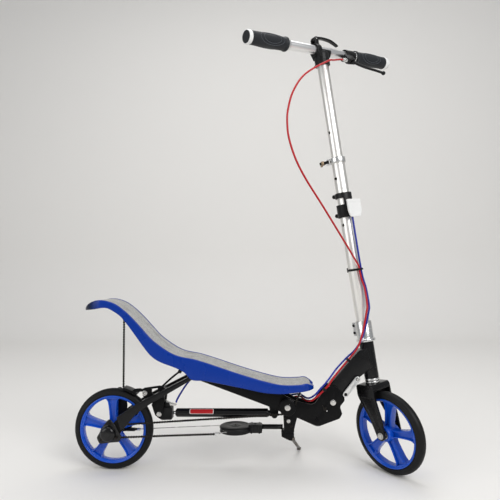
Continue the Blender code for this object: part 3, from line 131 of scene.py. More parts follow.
# Floor and wall are one sheet with a soft bend between them
sheetMesh = bmesh.new()
bend = studio["bend"]
sweepPoints = [(-4.0, 0.0)]
sweepPoints += [(1.6 + bend * sin(radians(a)), bend - bend * cos(radians(a))) for a in range(0, 91, 6)]
sweepPoints.append((1.6 + bend, 4.0))
line = [sheetMesh.verts.new((-5, y, z)) for y, z in sweepPoints]
edges = [sheetMesh.edges.new(pair) for pair in zip(line, line[1:])]
drawn = bmesh.ops.extrude_edge_only(sheetMesh, edges=edges)["geom"]
bmesh.ops.translate(sheetMesh, vec=(10, 0, 0), verts=[v for v in drawn if isinstance(v, bmesh.types.BMVert)])
bmesh.ops.recalc_face_normals(sheetMesh, faces=sheetMesh.faces)
if sheetMesh.faces[:][0].normal.z < 0:
    bmesh.ops.reverse_faces(sheetMesh, faces=sheetMesh.faces)
sheetData = bpy.data.meshes.new("studioSheet")
sheetMesh.to_mesh(sheetData)
sheetMesh.free()
sheetData.shade_smooth()
studioSheet = linked("studioSheet", sheetData)
sheetFinish = bpy.data.materials.new("studioPaper")
sheetFinish.use_nodes = True
fill(sheetFinish.node_tree.nodes["Principled BSDF"], {"Base Color": studio["floorColour"], "Roughness": 0.85})
sheetData.materials.append(sheetFinish)
print("camera, lamps and studio ready")


# Finishes: every one has its own grain, patchy gloss, fine relief and, where it is worn, rubbed places
def turnOf(place):
    return place.to_3x3().normalized().to_euler()


alongColumn = turnOf(steerFrame)
alongScooter = turnOf(scooterFrame)
finishBase = {"rough": 0.34, "patch": 0.1, "grain": 900, "tone": 0.2, "relief": 0.1, "depth": 0.0002, "rub": 0.2,
    "metal": 0.0, "shine": 0.5, "coat": 0.0, "turn": (0, 0, 0), "stretch": (1, 1, 1)}
finishes = {
    "blueShell": dict(slot="blue_deck", colour=(0.001, 0.030, 0.26), rough=0.27, patch=0.08, grain=260, tone=0.07,
        relief=0.05, depth=0.0004, shine=0.2, coat=0.06, wear=(0.03, 0.09, 0.36), rub=0.12,
        tail=(0.003, 0.010, 0.036), tailSpan=(-20, -48)),
    "blueRim": dict(slot="blue_rim", colour=(0.002, 0.072, 0.50), rough=0.22, patch=0.08, grain=320, tone=0.08,
        relief=0.04, depth=0.0003, shine=0.45, coat=0.1, wear=(0.08, 0.2, 0.7), rub=0.12),
    "framePaint": dict(slot="black_frame", colour=(0.0032, 0.0032, 0.0036), rough=0.36, relief=0.12, shine=0.13,
        wear=(0.03, 0.03, 0.032), rub=0.25),
    "tubePaint": dict(slot="black_tube", colour=(0.0036, 0.0036, 0.004), rough=0.25, patch=0.08, grain=700,
        relief=0.06, shine=0.25, coat=0.05, wear=(0.035, 0.035, 0.038)),
    "mouldedBlack": dict(slot="black_plastic", colour=(0.0048, 0.0048, 0.0052), rough=0.42, patch=0.12, grain=1400,
        tone=0.25, relief=0.2, shine=0.25, wear=(0.04, 0.04, 0.04)),
    "cylinderPaint": dict(slot="black_cylinder", colour=(0.0028, 0.0028, 0.0032), rough=0.18, patch=0.08, grain=500,
        relief=0.03, shine=0.35, coat=0.1, wear=(0.05, 0.05, 0.05), rub=0.15),
    "gripRubber": dict(slot="rubber", colour=(0.013, 0.015, 0.018), rough=0.55, patch=0.12, grain=1600, tone=0.25,
        relief=0.35, depth=0.0003, shine=0.3, wear=(0.06, 0.06, 0.065), rub=0.22),
    "ridgeRubber": dict(slot="rubber", colour=(0.05, 0.056, 0.066), rough=0.4, grain=1600, relief=0.2, shine=0.4,
        wear=(0.1, 0.1, 0.11)),
    "tyreRubber": dict(slot="tyre", colour=(0.0055, 0.0055, 0.0058), rough=0.52, patch=0.14, grain=700, tone=0.3,
        relief=0.2, depth=0.0003, shine=0.2, wear=(0.05, 0.046, 0.042), rub=0.3),
    "brightSteel": dict(slot="steel", colour=(0.62, 0.61, 0.59), rough=0.24, grain=600, tone=0.12, relief=0.06,
        metal=1.0, wear=(0.3, 0.26, 0.22), rub=0.3),
    "castSilver": dict(slot="silver_alloy", colour=(0.74, 0.74, 0.73), rough=0.3, tone=0.1, relief=0.12, metal=1.0,
        wear=(0.35, 0.33, 0.3)),
    "columnAlloy": dict(slot="column", colour=(0.86, 0.845, 0.81), rough=0.4, patch=0.06, grain=420, tone=0.07,
        relief=0.05, depth=0.0001, metal=1.0, wear=(0.5, 0.47, 0.43), rub=0.12, turn=alongColumn, stretch=(1, 1, 30)),
    "barAlloy": dict(slot="column", colour=(0.86, 0.855, 0.85), patch=0.06, grain=420, tone=0.07, relief=0.05,
        depth=0.0001, metal=1.0, wear=(0.5, 0.47, 0.43), rub=0.15, turn=alongColumn, stretch=(1, 30, 1)),
    "chromeRod": dict(slot="chrome", colour=(0.82, 0.82, 0.83), rough=0.08, patch=0.05, grain=500, tone=0.04,
        relief=0.02, depth=0.0001, metal=1.0, wear=(0.5, 0.5, 0.5), rub=0.1, turn=alongScooter, stretch=(20, 1, 1)),
    "chainSteel": dict(slot="chain", colour=(0.02, 0.018, 0.016), patch=0.12, tone=0.35, metal=0.85,
        wear=(0.2, 0.16, 0.12), rub=0.35),
    "redHousing": dict(slot="red_cable", colour=(0.42, 0.008, 0.014), rough=0.3, patch=0.08, tone=0.12, relief=0.08,
        depth=0.0001, shine=0.3, wear=(0.3, 0.03, 0.04)),
    "blueHousing": dict(slot="blue_cable", colour=(0.012, 0.025, 0.28), rough=0.3, patch=0.08, tone=0.12, relief=0.08,
        depth=0.0001, shine=0.3, wear=(0.05, 0.08, 0.3)),
    "whiteCover": dict(slot="white", colour=(0.78, 0.78, 0.77), patch=0.08, grain=500, tone=0.04, relief=0.05,
        wear=(0.6, 0.58, 0.54)),
    "labelRed": dict(colour=(0.40, 0.010, 0.014), rough=0.35, patch=0.06, grain=800, tone=0.1, relief=0.03,
        depth=0.0001, shine=0.3, wear=(0.3, 0.05, 0.05), rub=0.15),
    "labelWhite": dict(colour=(0.7, 0.69, 0.67), rough=0.35, patch=0.06, grain=800, tone=0.04, relief=0.03,
        depth=0.0001, wear=(0.5, 0.48, 0.45), rub=0.15),
    "standSteel": dict(slot="steel", colour=(0.12, 0.105, 0.09), rough=0.36, patch=0.12, grain=700, tone=0.25,
        relief=0.15, metal=1.0, wear=(0.4, 0.36, 0.3), rub=0.3),
    "bronzeClip": dict(slot="steel", colour=(0.27, 0.2, 0.13), patch=0.12, grain=700, tone=0.25, relief=0.15,
        metal=1.0, wear=(0.5, 0.42, 0.32), rub=0.3),
    "darkSeal": dict(colour=(0.006, 0.006, 0.0065), rough=0.5, grain=1200, depth=0.0001, shine=0.2,
        wear=(0.03, 0.03, 0.03)),
}


# One mix of two colours or sockets.
def blendColours(nodes, links, factor, first, second):
    mixer = nodes.new("ShaderNodeMix")
    mixer.data_type = "RGBA"
    links.new(factor, mixer.inputs[0])
    for socket, value in ((mixer.inputs[6], first), (mixer.inputs[7], second)):
        if isinstance(value, (tuple, list)):
            socket.default_value = (*value[:3], 1)
        else:
            links.new(value, socket)
    return mixer.outputs[2]


# Brings a socket into a range.
def rangeOf(nodes, links, source, low, high, fromLow=0.0, fromHigh=1.0):
    mapper = fill(nodes.new("ShaderNodeMapRange"), {"From Min": fromLow, "From Max": fromHigh, "To Min": low,
        "To Max": high})
    links.new(source, mapper.inputs["Value"])
    return mapper.outputs["Result"]


def noiseOf(nodes, links, place, scale, detail=4.0, rough=0.55):
    noise = fill(nodes.new("ShaderNodeTexNoise"), {"Scale": scale, "Detail": detail, "Roughness": rough})
    links.new(place, noise.inputs["Vector"])
    return noise.outputs["Fac"]


def addRelief(nodes, links, shader, height, strength, depth, invert=False):
    bump = fill(nodes.new("ShaderNodeBump"), {"Strength": strength, "Distance": depth})
    bump.invert = invert
    links.new(height, bump.inputs["Height"])
    links.new(bump.outputs["Normal"], shader.inputs["Normal"])


def startFinish(name, look):
    made = bpy.data.materials.new(name)
    made.use_nodes = True
    nodes, links = made.node_tree.nodes, made.node_tree.links
    where = nodes.new("ShaderNodeTexCoord")
    turn = fill(nodes.new("ShaderNodeMapping"), {"Rotation": look["turn"], "Scale": look["stretch"]})
    turn.vector_type = "TEXTURE"
    links.new(where.outputs["Object"], turn.inputs["Vector"])
    shader = fill(nodes["Principled BSDF"], {"Metallic": look["metal"], "Specular IOR Level": look["shine"]})
    if look["coat"]:
        fill(shader, {"Coat Weight": look["coat"], "Coat Roughness": 0.12})
    return made, nodes, links, shader, where.outputs["Object"], turn.outputs["Vector"]


def makeFinish(name, look):
    made, nodes, links, shader, plain, stretched = startFinish(name, look)
    fine = noiseOf(nodes, links, stretched, look["grain"])
    broad = noiseOf(nodes, links, plain, 14)
    colour = look["colour"]
    dark = [part * (1 - look["tone"]) for part in colour]
    light = [part * (1 + look["tone"]) for part in colour]
    body = blendColours(nodes, links, fine, dark, light)
    # The deck shell turns darker towards its tail end, blended by position along the scooter.
    if "tail" in look:
        split = nodes.new("ShaderNodeSeparateXYZ")
        links.new(plain, split.inputs[0])
        near, far = [(scooterFrame @ Vector((x, 0, 410))).x for x in look["tailSpan"]]
        body = blendColours(nodes, links, rangeOf(nodes, links, split.outputs[0], 0, 1, near, far), body,
            look["tail"])
    worn = rangeOf(nodes, links, noiseOf(nodes, links, plain, 75, 8, 0.65), 0, look["rub"], 0.6, 0.74)
    links.new(blendColours(nodes, links, worn, body, look["wear"]), shader.inputs["Base Color"])
    gloss = rangeOf(nodes, links, broad, look["rough"] - look["patch"], look["rough"] + look["patch"], 0.3, 0.7)
    links.new(gloss, shader.inputs["Roughness"])
    addRelief(nodes, links, shader, fine, look["relief"], look["depth"])
    return made


gritLook = {"slot": "deck_grip", "cream": (0.47, 0.47, 0.455), "tan": (0.20, 0.195, 0.185),
    "dirt": (0.13, 0.125, 0.12), "grains": 620, "rough": 0.5}


# Grey grip sheet: packed grains, each its own shade, with trodden patches.
def makeGrit(name, look):
    made, nodes, links, shader, plain, stretched = startFinish(name, look)
    cells = fill(nodes.new("ShaderNodeTexVoronoi"), {"Scale": look["grains"]})
    links.new(plain, cells.inputs["Vector"])
    shade = rangeOf(nodes, links, cells.outputs["Color"], 0, 1, 0.1, 0.9)
    body = blendColours(nodes, links, shade, look["tan"], look["cream"])
    patches = rangeOf(nodes, links, noiseOf(nodes, links, plain, 30, 8, 0.6), 0, 0.5, 0.5, 0.72)
    links.new(blendColours(nodes, links, patches, body, look["dirt"]), shader.inputs["Base Color"])
    gloss = rangeOf(nodes, links, noiseOf(nodes, links, plain, 14), look["rough"] - 0.15, look["rough"] + 0.15)
    links.new(gloss, shader.inputs["Roughness"])
    addRelief(nodes, links, shader, cells.outputs["Distance"], 0.5, 0.0005, invert=True)
    return made


made = {name: makeFinish(name, {**finishBase, **look}) for name, look in finishes.items()}
made["deckGrit"] = makeGrit("deckGrit", {**finishBase, **gritLook})
slots = {name: look.get("slot") for name, look in finishes.items()}
slots["deckGrit"] = gritLook["slot"]
print("finishes ready:", len(made))


# Shapes, all in millimetres
def onAxis(axis, at=(0, 0, 0)):
    turns = {"X": turned(90, "Y"), "Y": turned(-90, "X"), "Z": Matrix()}
    return moved(at) @ turns[axis]


def placed(mesh, matrix):
    mesh.transform(matrix)
    if matrix.determinant() < 0:
        bmesh.ops.reverse_faces(mesh, faces=mesh.faces)
    return mesh


def tidied(mesh, nearest=0.001):
    bmesh.ops.remove_doubles(mesh, verts=mesh.verts, dist=nearest)
    bmesh.ops.recalc_face_normals(mesh, faces=mesh.faces)
    return mesh


# A profile of radius and distance, spun round the axis.
def spun(profile, axis="Y", at=(0, 0, 0), steps=48, ring=False):
    mesh = bmesh.new()
    line = [mesh.verts.new((radius, 0, along)) for radius, along in profile]
    edges = [mesh.edges.new(pair) for pair in zip(line, line[1:])]
    if ring:
        edges.append(mesh.edges.new((line[-1], line[0])))
    bmesh.ops.spin(mesh, geom=line + edges, cent=(0, 0, 0), axis=(0, 0, 1), angle=2 * pi, steps=steps, use_merge=True)
    return placed(tidied(mesh), onAxis(axis, at))


def turnedRod(radius, start, end, axis="Y", at=(0, 0, 0), steps=32, ease=0.6):
    ease = min(ease, radius * 0.45, (end - start) * 0.45)
    side = [(radius - ease, start), (radius - ease * 0.3, start + ease * 0.3), (radius, start + ease),
        (radius, end - ease), (radius - ease * 0.3, end - ease * 0.3), (radius - ease, end)]
    return spun([(0, start), *side, (0, end)], axis, at, steps)


def turnedPipe(inner, outer, start, end, axis="Y", at=(0, 0, 0), steps=48, ease=0.5):
    ease = min(ease, (outer - inner) * 0.4, (end - start) * 0.4)
    loop = [(inner, start + ease), (inner + ease, start), (outer - ease, start),
        (outer - ease * 0.3, start + ease * 0.3), (outer, start + ease), (outer, end - ease),
        (outer - ease * 0.3, end - ease * 0.3), (outer - ease, end), (inner + ease, end), (inner, end - ease)]
    return spun(loop, axis, at, steps, ring=True)


def roundEdges(mesh, width, segments=2, least=28):
    sharp = [e for e in mesh.edges if len(e.link_faces) == 2 and degrees(e.calc_face_angle(0)) > least]
    bmesh.ops.bevel(mesh, geom=sharp, offset=width, offset_type="OFFSET", segments=segments, profile=0.5,
        affect="EDGES", clamp_overlap=True, material=-1)
    return mesh


# An outline in X and Z, drawn out along Y and eased at its edges.
def drawnOut(outline, start, end, ease=0.0, segments=2):
    mesh = bmesh.new()
    face = mesh.faces.new([mesh.verts.new((x, start, z)) for x, z in outline])
    drawn = bmesh.ops.extrude_face_region(mesh, geom=[face])["geom"]
    bmesh.ops.translate(mesh, vec=(0, end - start, 0), verts=[v for v in drawn if isinstance(v, bmesh.types.BMVert)])
    tidied(mesh)
    return roundEdges(mesh, ease, segments) if ease else mesh


# An outline in X and Y, drawn up along Z.
def lying(outline, start, end, ease=0.0, segments=2):
    flat = drawnOut([(x, -y) for x, y in outline], start, end, ease, segments)
    return placed(flat, turned(90, "X"))


def bothSides(shape):
    return [shape(side) for side in (-1, 1)]


def spanOf(side, near, far):
    return sorted((side * near, side * far))


def block(x0, x1, y0, y1, z0, z1, ease=0.8, segments=2):
    return drawnOut([(x0, z0), (x1, z0), (x1, z1), (x0, z1)], y0, y1, ease, segments)


def arcOf(centre, radius, start, end, count):
    angles = [radians(start + (end - start) * i / (count - 1)) for i in range(count)]
    return [(centre[0] + radius * cos(a), centre[1] + radius * sin(a)) for a in angles]


# The outline with its corners rounded.
def softened(outline, radii, count=5):
    made = []
    for i, corner in enumerate(outline):
        radius = radii if isinstance(radii, (int, float)) else radii[i]
        before = Vector(outline[i - 1]) - Vector(corner)
        after = Vector(outline[(i + 1) % len(outline)]) - Vector(corner)
        if radius < 0.05:
            made.append(tuple(corner))
            continue
        half = before.angle(after) / 2
        reach = min(radius / tan(half), 0.48 * before.length, 0.48 * after.length)
        first = Vector(corner) + before.normalized() * reach
        last = Vector(corner) + after.normalized() * reach
        for k in range(count + 1):
            t = k / count
            made.append(tuple(first * (1 - t) ** 2 + Vector(corner) * 2 * t * (1 - t) + last * t ** 2))
    return made


def frozen(mesh, name="shape"):
    data = bpy.data.meshes.new(name)
    mesh.to_mesh(data)
    mesh.free()
    return data


# Several closed shapes as one piece.
def joined(*meshes):
    whole = bmesh.new()
    for mesh in meshes:
        data = frozen(mesh)
        whole.from_mesh(data)
        bpy.data.meshes.remove(data)
    return whole


# Cuts or joins shapes with the exact Boolean and returns the result.
def carved(mesh, *cutters, how="DIFFERENCE"):
    objects = []
    for each in (mesh, *cutters):
        objects.append(linked("shape", frozen(each)))
    for other in objects[1:]:
        step = objects[0].modifiers.new("cut", "BOOLEAN")
        step.operation = how
        step.solver = "EXACT"
        step.object = other
    result = bmesh.new()
    result.from_object(objects[0], bpy.context.evaluated_depsgraph_get())
    for each in objects:
        data = each.data
        bpy.data.objects.remove(each)
        bpy.data.meshes.remove(data)
    return result


# A round cord along points, with closed ends.
def alongLine(points, radius, sides=12):
    data = bpy.data.curves.new("route", "CURVE")
    data.dimensions = "3D"
    data.bevel_depth = radius
    data.bevel_resolution = max((sides - 4) // 2, 0)
    data.use_fill_caps = True
    line = data.splines.new("POLY")
    line.points.add(len(points) - 1)
    for spot, point in zip(line.points, points):
        spot.co = (*point, 1)
    curve = linked("route", data)
    mesh = bmesh.new()
    mesh.from_mesh(curve.to_mesh())
    curve.to_mesh_clear()
    bpy.data.objects.remove(curve)
    bpy.data.curves.remove(data)
    return tidied(mesh)


# A smooth curve through points in space.
def smoothLine(points, per=6):
    made = []
    spots = [Vector(p) for p in points]
    for i in range(len(spots) - 1):
        before = spots[max(i - 1, 0)]
        low, high = spots[i], spots[i + 1]
        after = spots[min(i + 2, len(spots) - 1)]
        for k in range(per):
            t = k / per
            bendPart = 2 * before - 5 * low + 4 * high - after
            twistPart = 3 * low - before - 3 * high + after
            made.append(0.5 * (2 * low + (high - before) * t + bendPart * t ** 2 + twistPart * t ** 3))
    made.append(spots[-1])
    return made


# Loops of the same number of points, each drawn out of the one before, with closed ends.
def skinned(sections):
    mesh = bmesh.new()
    loop = [mesh.verts.new(point) for point in sections[0]]
    edges = [mesh.edges.new(pair) for pair in zip(loop, loop[1:] + loop[:1])]
    mesh.faces.new(loop)
    for section in sections[1:]:
        drawn = bmesh.ops.extrude_edge_only(mesh, edges=edges)["geom"]
        fresh = {tuple(item.co): item for item in drawn if isinstance(item, bmesh.types.BMVert)}
        loop = [fresh[tuple(vert.co)] for vert in loop]
        edges = [mesh.edges.get(pair) for pair in zip(loop, loop[1:] + loop[:1])]
        for vert, point in zip(loop, section):
            vert.co = point
    mesh.faces.new(loop)
    return tidied(mesh)


# Places one or more finished meshes in metres, gives them their finish and lets them ride on their body.
def show(name, shapes, finish, body="scooter", place=scooterFrame, node=None, sharp=38):
    mesh = placed(joined(*shapes) if isinstance(shapes, (list, tuple)) else shapes, place)
    data = frozen(mesh, name)
    data.shade_smooth()
    data.set_sharp_from_angle(angle=radians(sharp))
    data.materials.append(made[finish])
    piece = linked(name, data)
    if body:
        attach(piece, body)
    if node:
        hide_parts(node)
    return piece


# A CAD node that keeps its shape gets its finish.
def dress(node, finish):
    mesh = frame["nodes"][node].data
    mesh.materials.clear()
    mesh.materials.append(made[finish])


# Wheels: tyre, five-arm rim, bearings
wheel = {"middle": 87.0, "section": 13.0, "arms": 5, "steps": 96, "armHalf": 9.5, "wall": 2.3, "pocket": 6.2}


# Round tread with a fine ridge by each bead.
def tyreMesh():
    loop = [(83.35, -10.6)]
    for k in range(29):
        angle = -98 + 7 * k
        dip = 0.55 if 68 < abs(angle) < 80 else 0.0
        flat = 0.35 * max(0, 1 - (angle / 24) ** 2)
        reach = wheel["section"] - dip
        loop.append((wheel["middle"] + reach * cos(radians(angle)) - flat * 0.2, reach * sin(radians(angle))))
    loop.append((83.35, 10.6))
    return spun(loop, steps=wheel["steps"], ring=True)


def rimMesh(start):
    half = [(83.1, 12.0), (82.2, 12.4), (81.0, 12.4), (80.0, 11.8), (79.4, 10.8), (78.6, 10.0), (77.2, 9.6),
        (76.3, 8.0), (76.0, 4.0)]
    ring = spun([(r, y) for r, y in half] + [(75.9, 0)] + [(r, -y) for r, y in reversed(half)], steps=wheel["steps"],
        ring=True)
    hubHalf = [(4.6, 17.4), (11.2, 17.4), (11.2, 19.4), (11.8, 20.0), (15.2, 20.0), (16.6, 19.3), (17.6, 17.6),
        (18.2, 14.5), (19.0, 12.5), (19.0, 9.0)]
    hub = spun(hubHalf + [(r, -y) for r, y in reversed(hubHalf)], steps=48, ring=True)
    shapes = [ring, hub]
    for k in range(wheel["arms"]):
        side = [(15.0, 10.5), (18.5, 9.6), (23, 8.4), (30, 7.9), (45, 8.7), (58, 9.8), (66, 11.0), (71, 12.9),
            (74.5, 16.0), (77.2, 21.0)]
        arm = drawnOut([(x, -z) for x, z in side] + [(x, z) for x, z in reversed(side)], -wheel["armHalf"],
            wheel["armHalf"])
        faces = [f for f in arm.faces if abs(f.normal.y) > 0.9]
        bmesh.ops.inset_region(arm, faces=faces, thickness=wheel["wall"], depth=0, use_even_offset=True)
        bmesh.ops.inset_region(arm, faces=faces, thickness=1.1, depth=-wheel["pocket"], use_even_offset=True)
        roundEdges(arm, 0.55, 2, 40)
        shapes.append(placed(arm, Matrix.Rotation(-radians(start + 360 * k / wheel["arms"]), 4, "Y")))
    return joined(*shapes)


def bearingMesh():
    shapes = []
    for side in (-1, 1):
        shapes += [turnedPipe(8.8, 11.0, *spanOf(side, 17.5, 19.0), steps=40, ease=0.3),
            turnedPipe(4.4, 6.2, *spanOf(side, 17.5, 19.0), steps=32, ease=0.3)]
    return joined(*shapes)


def sealMesh():
    return joined(*[turnedPipe(6.2, 8.8, *spanOf(side, 17.5, 18.5), steps=40, ease=0.2) for side in (-1, 1)])


rearHub = scooterFrame @ moved((0, 0, 100))
frontHub = steerFrame @ moved((28, 0, 0))
for end, place, start in (("rear", rearHub, 20.0), ("front", frontHub, 3.0)):
    ride = (end + "_wheel", place)
    show(end + "Tyre", tyreMesh(), "tyreRubber", *ride, end + "_tyre")
    show(end + "Rim", rimMesh(start), "blueRim", *ride, end + "_rim")
    show(end + "Bearings", bearingMesh(), "brightSteel", *ride)
    show(end + "BearingSeals", sealMesh(), "darkSeal", *ride)
print("wheels ready")

# Deck: hollow shell with a raised rim, and the grip sheet with its sewn-in grooves
deck = {"tail": -71.0, "nose": 501.0, "half": 55.0, "skin": 7.5, "wall": 3.2, "recess": 3.2, "rim": 6.7, "step": 7.0,
    "groove": 0.9}
deckTop = [(-71, 401.5), (-51, 416), (-22, 424), (12, 417), (37, 401), (62, 378), (87, 351), (112, 324.5), (163, 291),
    (219, 277.5), (328, 242), (383, 226), (423, 217.6), (464, 217.6), (483, 219.5), (501, 210.5)]
deckLow = [(-71, 397.5), (-41, 400.5), (-6, 404.7), (12, 397), (34, 381), (62, 345.5), (87, 311), (106, 288),
    (127.5, 273.5), (168, 258), (189, 247), (204, 231), (217, 228), (235, 228), (328, 210), (382, 199), (423, 196.4),
    (463.5, 200), (501, 204)]


def heightAt(points, x):
    last = len(points) - 1
    i = max(k for k in range(last) if k == 0 or points[k][0] <= x)
    before, low, high, after = points[max(i - 1, 0)], points[i], points[i + 1], points[min(i + 2, last)]
    span = high[0] - low[0]
    slopeLow = (high[1] - before[1]) / (high[0] - before[0])
    slopeHigh = (after[1] - low[1]) / (after[0] - low[0])
    t = (x - low[0]) / span
    return ((2 * t ** 3 - 3 * t ** 2 + 1) * low[1] + (t ** 3 - 2 * t ** 2 + t) * span * slopeLow
        + (3 * t ** 2 - 2 * t ** 3) * high[1] + (t ** 3 - t ** 2) * span * slopeHigh)


def halfWidth(x, inset):
    tail, nose, wide = deck["tail"] + inset, deck["nose"] - inset, deck["half"] - inset
    tailRound, noseRound = wide, 38 - inset
    if x < tail + tailRound:
        return wide * sqrt(max(1 - ((tail + tailRound - x) / tailRound) ** 2, 0))
    if x > nose - noseRound:
        return wide - noseRound + noseRound * sqrt(max(1 - ((x - nose + noseRound) / noseRound) ** 2, 0))
    return wide


def deckStations(start, end):
    ends = (0, 0.6, 1.6, 3.2, 5.4, 8.2, 11.5, 15.5, 20)
    middle = []
    x = start + ends[-1] + deck["step"]
    while x < end - ends[-1] - 4:
        middle.append(x)
        x += deck["step"]
    return [start + d for d in ends] + middle + [end - d for d in reversed(ends)]


def eased(x, start, end):
    t = min(max((x - start) / (end - start), 0), 1)
    return t * t * (3 - 2 * t)


def shellSection(x):
    wide = halfWidth(x, 0)
    top, low = heightAt(deckTop, x), heightAt(deckLow, x)
    k = min(1.0, wide / 14, (top - low) / 12)
    inner = min(halfWidth(x, deck["rim"]), wide - 6.7 * k)
    inner = max(inner, 0.3)
    sink = deck["recess"] if halfWidth(x, deck["rim"]) > 1 else 0.0
    hollow = min(eased(x, -52, -38), 1 - eased(x, 484, 495))
    under = low + 0.6 + hollow * (top - deck["skin"] - low - 0.6)
    wall = max(min(deck["wall"], wide * 0.4), 0.3)
    side = [(wide - 2.0 * k, low), (wide - 0.7 * k, low + 0.6 * k), (wide - 0.1 * k, low + 2.0 * k),
        (wide, low + 3.6 * k), (wide, top - 4.2 * k), (wide - 0.25 * k, top - 2.4 * k),
        (wide - 1.0 * k, top - 1.0 * k), (wide - 2.2 * k, top - 0.2 * k), (wide - 3.4 * k, top),
        (inner + 1.3 * k, top), (inner + 0.45 * k, top - 0.25 * k), (inner + 0.05 * k, top - 0.9 * k),
        (inner, top - max(sink, 1.0 * k))]
    below = [(wide - wall, low + 0.5), (wide - wall - 0.2, under)]
    left = [(-y, z) for y, z in reversed(side)]
    loop = side + left + [(-y, z) for y, z in below] + [(y, z) for y, z in reversed(below)]
    return [(x, y, z) for y, z in loop]


deckShell = skinned([shellSection(x) for x in deckStations(deck["tail"] + 0.8, deck["nose"] - 0.5)])
show("deckShell", deckShell, "blueShell", "deck", scooterFrame, "deck_shell")


def matSection(x):
    wide = max(halfWidth(x, 7.6), 0.3)
    top = heightAt(deckTop, x) - 0.7
    k = min(1.0, wide / 30)
    dip = deck["groove"] * k
    marks = [wide, wide - 0.5 * k, wide - 1.4 * k]
    heights = [top - 1.0 * k, top - 0.25 * k, top]
    for groove in (wide - 9.0 * k, wide * 0.42):
        marks += [groove + 1.3 * k, groove + 0.8 * k, groove - 0.8 * k, groove - 1.3 * k]
        heights += [top, top - dip, top - dip, top]
    half = list(zip(marks, heights))
    loop = half + [(-y, z) for y, z in reversed(half)] + [(-wide, top - 2.1), (wide, top - 2.1)]
    return [(x, y, z) for y, z in loop]


gripMat = skinned([matSection(x) for x in deckStations(deck["tail"] + 9.0, deck["nose"] - 9.0)])
show("gripMat", gripMat, "deckGrit", "deck", scooterFrame, "grip_mat", sharp=30)
dress("deck_frame", "framePaint")
print("deck ready")

# Rear frame: rounded stays, dropouts, brake bracket and strut clevis
rear = {"stayIn": 36.0, "stayOut": 48.0, "dropIn": 38.0, "dropOut": 44.0, "bracketIn": 18.0, "bracketOut": 21.5,
    "clevisIn": 13.0, "clevisOut": 17.0, "strut": (118.0, 139.0), "brake": (83.8, 191.8)}
stayOutline = softened([(200, 226), (230, 240), (224, 262), (193, 233.5), (90.5, 182.5), (56.5, 163.5), (20, 139),
    (30, 106), (44.8, 119.5), (67, 146), (101.7, 170)], [6, 9, 12, 30, 30, 20, 4, 4, 14, 20, 30], 6)
dropOutline = arcOf((0, 100), 22, 70, 330, 30) + [(44.8, 119.5), (56, 133), (34, 147)]
nearBracket = softened([(134, 184), (134, 203), (128, 208.5), (120, 210), (82, 204.5), (75, 200), (78, 186),
    (86, 172), (104, 172), (110, 184)], 3, 4)
farBracket = softened([(134, 184), (134, 197), (119, 197), (112, 183), (104, 176), (92, 176), (91, 193), (87, 197),
    (80, 197), (76, 192), (78, 178), (88, 167), (106, 167)], 3, 4)
bracketWindow = softened([(101, 190), (101, 202), (116, 204), (116, 196), (112, 190)], 1.5, 3)
clevisOutline = softened([(119, 195), (134, 195), (131, 172), (127, 139), (118, 129.5), (108, 136), (99, 162),
    (106, 176)], 4, 4)


# A hexagon head with its washer and a dished top, standing on a face and pointing out to one side.
def hexBolt(at, side, face, across=5.0, head=3.5, washer=6.5, axis="Y"):
    plate = turnedPipe(across * 0.4, washer, *spanOf(side, face, face + 1.0), axis, at, 36, 0.3)
    body = roundEdges(turnedRod(across, *spanOf(side, face + 0.8, face + head), axis, at, 6, 0.01), 0.45, 2, 25)
    dish = spanOf(side, face + head - 0.4, face + head + 0.35)
    return joined(plate, body, turnedPipe(across * 0.34, across * 0.62, *dish, axis, at, 28, 0.25))


# A round socket head with a six-sided hollow.
def capBolt(at, side, face, radius=4.0, head=3.0, axis="Y"):
    body = turnedRod(radius, *spanOf(side, face, face + head), axis, at, 28, 0.6)
    hollow = spanOf(side, face + head - 1.6, face + head + 1)
    return carved(body, turnedRod(radius * 0.52, *hollow, axis, at, 6, 0.01))


stays = joined(*bothSides(lambda side: drawnOut(stayOutline, *spanOf(side, rear["stayIn"], rear["stayOut"]), 3.0, 4)))
drops = joined(*bothSides(lambda side: drawnOut(dropOutline, *spanOf(side, rear["dropIn"], rear["dropOut"]), 0.8)))
bridge = block(119, 134, -37, 37, 184, 197, 2.5, 3)
show("rearStays", stays, "tubePaint", node="rear_frame")
show("rearDropouts", drops, "framePaint")
show("rearBridge", bridge, "framePaint")
plates = []
for side in (-1, 1):
    low, high = spanOf(side, rear["bracketIn"], rear["bracketOut"])
    plate = drawnOut(nearBracket if side < 0 else farBracket, low, high)
    if side < 0:
        plate = carved(plate, drawnOut(bracketWindow, low - 2, high + 2))
    plates.append(roundEdges(plate, 0.6, 2, 50))
    plates.append(drawnOut(clevisOutline, *spanOf(side, rear["clevisIn"], rear["clevisOut"]), 0.6))
show("rearBrackets", plates, "framePaint")
pins = [turnedRod(3.5, -22.5, 22.5, at=(83.8, 0, 191.8)), turnedRod(4.0, -17.6, 17.6, at=(118, 0, 139)),
    turnedPipe(3.6, 6.6, -25, -22, at=(83.8, 0, 191.8), ease=0.4), hexBolt((118, 0, 139), -1, 17.2, 4.6, 3.4, 6.2),
    hexBolt((118, 0, 139), 1, 17.2, 4.6, 3.4, 6.2)]
show("rearPins", pins, "brightSteel")
axleShapes = [turnedRod(4.0, -49, 49, at=(0, 0, 100)), hexBolt((0, 0, 100), -1, 44.3, 6.2, 5, 8.2),
    hexBolt((0, 0, 100), 1, 44.3, 6.2, 5, 8.2)]
show("rearAxle", axleShapes, "brightSteel", node="rear_axle")
pivotShapes = [turnedRod(5.0, -50.5, 50.5, at=(215, 0, 246)), capBolt((215, 0, 246), -1, 48.3, 8.0, 2.7),
    capBolt((215, 0, 246), 1, 48.3, 8.0, 2.7)]
show("deckPivotBolt", pivotShapes, "brightSteel", node="deck_axle")

